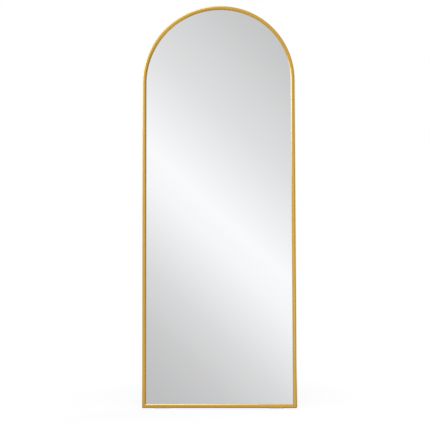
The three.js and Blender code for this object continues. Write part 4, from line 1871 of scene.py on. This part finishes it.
@dataclass
class Rubber:
    """The wedge pads under the frame and the studs that keep it off a wall."""

    frame: Frame
    pad_length: float = 60 * MM
    pad_spacing: float = 480 * MM
    pad_inset: float = 2.5 * MM
    pad_corner: float = 3 * MM
    corner_steps: int = 5
    edge_break: float = 0.3 * MM
    bumper_radius: float = 4.5 * MM
    tip_radius: float = 3.6 * MM
    tip_round: float = 0.9 * MM
    tip_steps: int = 4
    bumper_height: float = 5 * MM
    bumper_angle: float = math.radians(24)
    steps: int = 32

    def build(self) -> None:
        """Makes both pads and both bumpers."""
        self._pads()
        self._bumpers()

    def _pads(self) -> None:
        """A block whose underside is drawn level with the floor."""
        half = self.pad_length / 2
        front, back = self.pad_inset, self.frame.depth - self.pad_inset
        deep, shallow = (self.frame.place.floor_under(depth) for depth in (front, back))
        master = Piece.block("pad", (-half, front, deep), (half, back, -FIT))
        with master.edited():
            master.pick_corners(lambda at: near(at.y, back) and near(at.z, deep))
            bpy.ops.transform.translate(value=(0, 0, shallow - deep))
            master.pick_edges(lambda middle, run: abs(run.z) > TINY and near(run.x, 0) and near(run.y, 0))
            master.bevel(self.pad_corner, self.corner_steps)
        master.break_edges(self.edge_break)
        master.smooth()
        at = (self.pad_spacing / 2, 0, 0)
        master.pair("floor_pad", self.frame.place.panel, at, Body.PANEL, PAD_SILICONE)

    def _bumpers(self) -> None:
        """A tapered stud with a rounded tip, behind each shoulder of the arch."""
        stations = [(0, self.bumper_radius - self.edge_break), (self.edge_break, self.bumper_radius)]
        shoulder = self.bumper_height - self.tip_round
        taper = self.bumper_radius - self.tip_radius
        stations.append((shoulder, self.tip_radius + taper * self.tip_round / self.bumper_height))
        tip = (self.bumper_height, self.tip_radius - self.tip_round)
        stations += dome((shoulder, self.tip_radius), tip, self.tip_steps)[1:]
        master = Piece.turned("bumper", stations, self.steps)
        master.smooth()
        outline = self.frame.outline
        radius = outline.half - (self.frame.face - self.frame.rebate) / 2
        across, up = radius * math.sin(self.bumper_angle), radius * math.cos(self.bumper_angle)
        at = (across, self.frame.depth + FIT, outline.springline + up)
        master.pair("wall_bumper", self.frame.place.panel, at, Body.PANEL, FOOT_RUBBER, Axis.BACK)


# ---- The studio ----


@dataclass(frozen=True)
class Card:
    """A soft round card that only gloss shows."""

    name: str
    middle: Point
    width: float
    level: float


@dataclass(frozen=True)
class Lamp:
    """A soft square lamp, which no reflection shows."""

    name: str
    middle: Point
    width: float
    watts: float


CARDS = (
    Card("left card", (-2.05, -0.95, 2.15), 2.6, 4.0),
    Card("overhead card", (-0.75, -1.00, 3.10), 2.1, 3.4),
)
LAMPS = (
    Lamp("key", (0.4, -3.7, 3.4), 2.4, 60.0),
    Lamp("fill", (2.6, 2.4, 2.6), 2.4, 26.0),
)
# How bright the band of light in the glass is, by how far it is from the band's brightest line.
BAND = (
    (-200, 0.560),
    (-156, 0.622),
    (-118, 0.702),
    (-80, 0.776),
    (-48, 0.872),
    (-5, 1.003),
    (22, 0.962),
    (57, 0.832),
    (84, 0.728),
    (105, 0.677),
    (122, 0.624),
    (170, 0.546),
    (200, 0.530),
)


@dataclass
class Studio:
    """The camera, the lamps, the floor and what the metal and the glass reflect."""

    place: Placement
    camera_at: Point = (0.93351, -7.08800, 0.89256)
    azimuth: float = math.radians(7.6859)
    pitch: float = math.radians(-0.6972)
    roll: float = math.radians(-0.9478)
    focal_pixels: float = 1684.59
    image_pixels: float = 430.0
    sensor: float = 36.0
    floor_front: float = -1.8
    floor_back: float = 7.0
    floor_side: float = 7.0
    floor_albedo: Colour = (0.26, 0.24, 0.18)
    floor_near: Colour = (0.783, 0.800, 0.850)
    floor_far: Colour = (0.880, 0.890, 0.918)
    # How far out the floor's colour turns from near to far.
    floor_fade: tuple[float, float] = (0.5, 2.0)
    # How bright gloss shows the floor, near and far, how far out that turns, and what else it lights. The dim near
    # level is painted shade: it stands in for the floor's shadow under the frame, which the glow doesn't show.
    floor_reflected: tuple[float, float] = (0.15, 0.70)
    floor_turn: tuple[float, float] = (0.4, 1.6)
    floor_bounce: float = 0.40
    world_diffuse: float = 0.62
    # The band's place by the slopes of a reflected ray, how far BAND reaches, and how straight ahead it ends.
    band_slant: Point = (-1147.1, -1202.9, -45.2)
    band_reach: float = 200.0
    band_cone: tuple[float, float] = (0.82, 0.94)
    # How bright the room is round the band and to the sides, where one gives way to the other, and the least.
    room_dim: Point = (-0.25, 0.40, 0.34)
    room_rim: tuple[float, float] = (0.45, 0.0)
    room_sides: Point = (-0.05, 0.15, 0.80)
    room_least: tuple[float, float] = (0.20, 0.50)
    card_edge: tuple[float, float] = (0.5, 0.15)
    card_colour: Colour = (0.76, 1.0, 1.8)

    def build(self) -> None:
        """Sets up the whole studio."""
        self._camera()
        self._world()
        self._floor()
        for card in CARDS:
            self._hang_card(card)
        for lamp in LAMPS:
            self._hang_lamp(lamp)
        bpy.context.scene.view_settings.view_transform = "Standard"

    def _camera(self) -> None:
        """Places the camera where the photograph was taken from."""
        forward = Vector(
            (
                -math.sin(self.azimuth) * math.cos(self.pitch),
                math.cos(self.azimuth) * math.cos(self.pitch),
                math.sin(self.pitch),
            )
        )
        level = Vector((math.cos(self.azimuth), math.sin(self.azimuth), 0))
        above = level.cross(forward)
        right = math.cos(self.roll) * level + math.sin(self.roll) * above
        up = right.cross(forward)
        data = bpy.data.cameras.new("camera")
        data.sensor_width = self.sensor
        data.lens = self.focal_pixels / self.image_pixels * self.sensor
        camera = bpy.data.objects.new("camera", data)
        bpy.context.scene.collection.objects.link(camera)
        turn = Matrix((right, up, -forward)).transposed().to_4x4()
        camera.matrix_world = Matrix.Translation(self.camera_at) @ turn
        bpy.context.scene.camera = camera

    def _world(self) -> None:
        """White to the camera and through glass, a room to gloss, and a plain level to matt surfaces."""
        world = bpy.data.worlds.new("studio")
        graph = Graph.of(world)
        background = graph.node("Background")
        background.inputs["Color"].default_value = with_alpha((1.0, 1.0, 1.0))
        graph.link(background.outputs[0], graph.node("OutputWorld").inputs[0])
        way = graph.node("TexCoord").outputs["Generated"]
        path = graph.node("LightPath").outputs
        shown = graph.number("MAXIMUM", path["Is Camera Ray"], path["Is Transmission Ray"])
        plain = graph.number("MULTIPLY_ADD", shown, 1 - self.world_diffuse, self.world_diffuse)
        level = graph.between(path["Is Glossy Ray"], plain, self._room(graph, way))
        graph.link(level, background.inputs["Strength"])
        bpy.context.scene.world = world

    def _room(self, graph: Graph, way: bpy.types.NodeSocket) -> bpy.types.NodeSocket:
        """The room that gloss shows: a slanting band ahead, dim round it, and brighter to the sides.

        Args:
            graph: The world's nodes.
            way: The way of the ray.

        Returns:
            How bright the room is that way.
        """
        panel = self.place.panel.to_3x3()
        front = graph.dot(way, tuple(panel @ Vector((0, -1, 0))))
        ahead = graph.number("MAXIMUM", front, self.band_cone[0])
        across = graph.number("DIVIDE", graph.dot(way, tuple(panel @ Vector((1, 0, 0)))), ahead)
        upwards = graph.number("DIVIDE", graph.dot(way, tuple(panel @ Vector((0, 0, 1)))), ahead)
        slant = graph.number("MULTIPLY_ADD", across, self.band_slant[0], self.band_slant[2])
        beside = graph.number("MULTIPLY_ADD", upwards, self.band_slant[1], slant)
        scaled = graph.number("MULTIPLY_ADD", beside, 0.5 / self.band_reach, 0.5, clamp=True)
        ramp = graph.node("ValToRGB")
        stops = ramp.color_ramp.elements
        while len(stops) < len(BAND):
            stops.new(0.5)
        for stop, (at, level) in zip(stops, BAND):
            stop.position = at / self.band_reach / 2 + 0.5
            stop.color = with_alpha((level, level, level))
        graph.link(scaled, ramp.inputs[0])
        dim, sides = (
            graph.number("MAXIMUM", graph.plane(way, slope), least)
            for slope, least in zip((self.room_dim, self.room_sides), self.room_least)
        )
        rim = graph.ease(front, *self.room_rim, 0.0, 1.0)
        beyond = graph.between(rim, dim, sides)
        cone = graph.ease(front, *self.band_cone, 0.0, 1.0)
        return graph.between(cone, beyond, ramp.outputs[0])

    def _floor(self) -> None:
        """A plain white floor that keeps the object's shadow, and that gloss sees painted darker near the mirror,
        as shade.
        """
        low = (-self.floor_side, self.floor_front)
        floor = Piece.sheet("floor", low, (self.floor_side, self.floor_back))
        made = bpy.data.materials.new("floor")
        graph = Graph.of(made)
        matt = graph.node("BsdfDiffuse")
        matt.inputs["Color"].default_value = with_alpha(self.floor_albedo)
        glow = graph.node("Emission")
        path = graph.node("LightPath").outputs
        away = graph.node("VectorMath", operation="LENGTH")
        graph.link(graph.node("TexCoord").outputs["Object"], away.inputs[0])
        far = graph.ease(away.outputs["Value"], *self.floor_fade, 0.0, 1.0)
        white = graph.mix(far, with_alpha(self.floor_near), with_alpha(self.floor_far))
        graph.link(white, glow.inputs["Color"])
        # Painted shade: gloss sees the floor dim near the mirror, in place of the shadow under the frame.
        gloss_floor_with_painted_shade = graph.ease(away.outputs["Value"], *self.floor_turn, *self.floor_reflected)
        hidden = graph.between(path["Is Glossy Ray"], self.floor_bounce, gloss_floor_with_painted_shade)
        shown = graph.number("MAXIMUM", path["Is Camera Ray"], path["Is Transmission Ray"])
        graph.link(graph.between(shown, hidden, 1.0), glow.inputs["Strength"])
        both = graph.node("AddShader")
        graph.link(matt.outputs[0], both.inputs[0])
        graph.link(glow.outputs[0], both.inputs[1])
        graph.link(both.outputs[0], graph.node("OutputMaterial").inputs[0])
        floor.thing.data.materials.append(made)

    def _aimed(self, middle: Point) -> Matrix:
        """The place of a thing at a point, turned towards the middle of the mirror."""
        away = Vector(middle) - Vector((0, 0, self.place.pivot.z))
        return Matrix.Translation(middle) @ away.to_track_quat("Z", "Y").to_matrix().to_4x4()

    def _hang_card(self, card: Card) -> None:
        """Hangs a card that glows in its middle and fades out to its edge.

        Args:
            card: The card.
        """
        half = card.width / 2
        sheet = Piece.sheet(card.name, (-half, -half), (half, half))
        made = bpy.data.materials.new(card.name)
        graph = Graph.of(made)
        glow = graph.node("Emission")
        glow.inputs["Color"].default_value = with_alpha(self.card_colour)
        off_middle = graph.node("VectorMath", operation="DISTANCE")
        graph.fill(off_middle.inputs, [graph.node("TexCoord").outputs["UV"], (0.5, 0.5, 0.0)])
        share = graph.ease(off_middle.outputs["Value"], *self.card_edge, 0.0, 1.0)
        clear = graph.node("BsdfTransparent")
        graph.link(graph.number("MULTIPLY", share, card.level), glow.inputs["Strength"])
        both = graph.node("MixShader")
        graph.fill(both.inputs, [share])
        graph.link(clear.outputs[0], both.inputs[1])
        graph.link(glow.outputs[0], both.inputs[2])
        graph.link(both.outputs[0], graph.node("OutputMaterial").inputs[0])
        sheet.move_to(self._aimed(card.middle))
        thing = sheet.thing
        thing.data.materials.append(made)
        for kind in ("camera", "diffuse", "transmission", "shadow"):
            setattr(thing, f"visible_{kind}", False)

    def _hang_lamp(self, lamp: Lamp) -> None:
        """Hangs a lamp that shines at the middle of the mirror.

        Args:
            lamp: The lamp.
        """
        data = bpy.data.lights.new(lamp.name, "AREA")
        data.size = lamp.width
        data.energy = lamp.watts
        hung = bpy.data.objects.new(lamp.name, data)
        bpy.context.scene.collection.objects.link(hung)
        hung.matrix_world = self._aimed(lamp.middle)
        hung.visible_camera = False
        hung.visible_glossy = False


def dress_hidden_nodes() -> None:
    """Gives the corner keys, which the rails cover, a better material."""
    for side in Side:
        key = frame["nodes"][f"corner_key_{side.word}"]
        key.data.materials.clear()
        key.data.materials.append(CAST_KEY.material())


def main() -> None:
    """Builds the mirror from front to back, then the studio."""
    logging.basicConfig(level=logging.INFO, format="%(message)s")
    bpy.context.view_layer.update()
    place = Placement()
    rails = Frame(Outline(), place)
    rails.build()
    pack = MirrorPack(rails)
    pack.build()
    screws = Screws(place)
    Clips(pack, screws).build()
    brace = Brace(pack, screws)
    brace.build()
    hinges = Hinges(brace, place)
    hinges.build()
    Stand(hinges, place).build()
    Rubber(rails).build()
    screws.master.discard()
    dress_hidden_nodes()
    Studio(place).build()


if __name__ == "__main__":
    main()
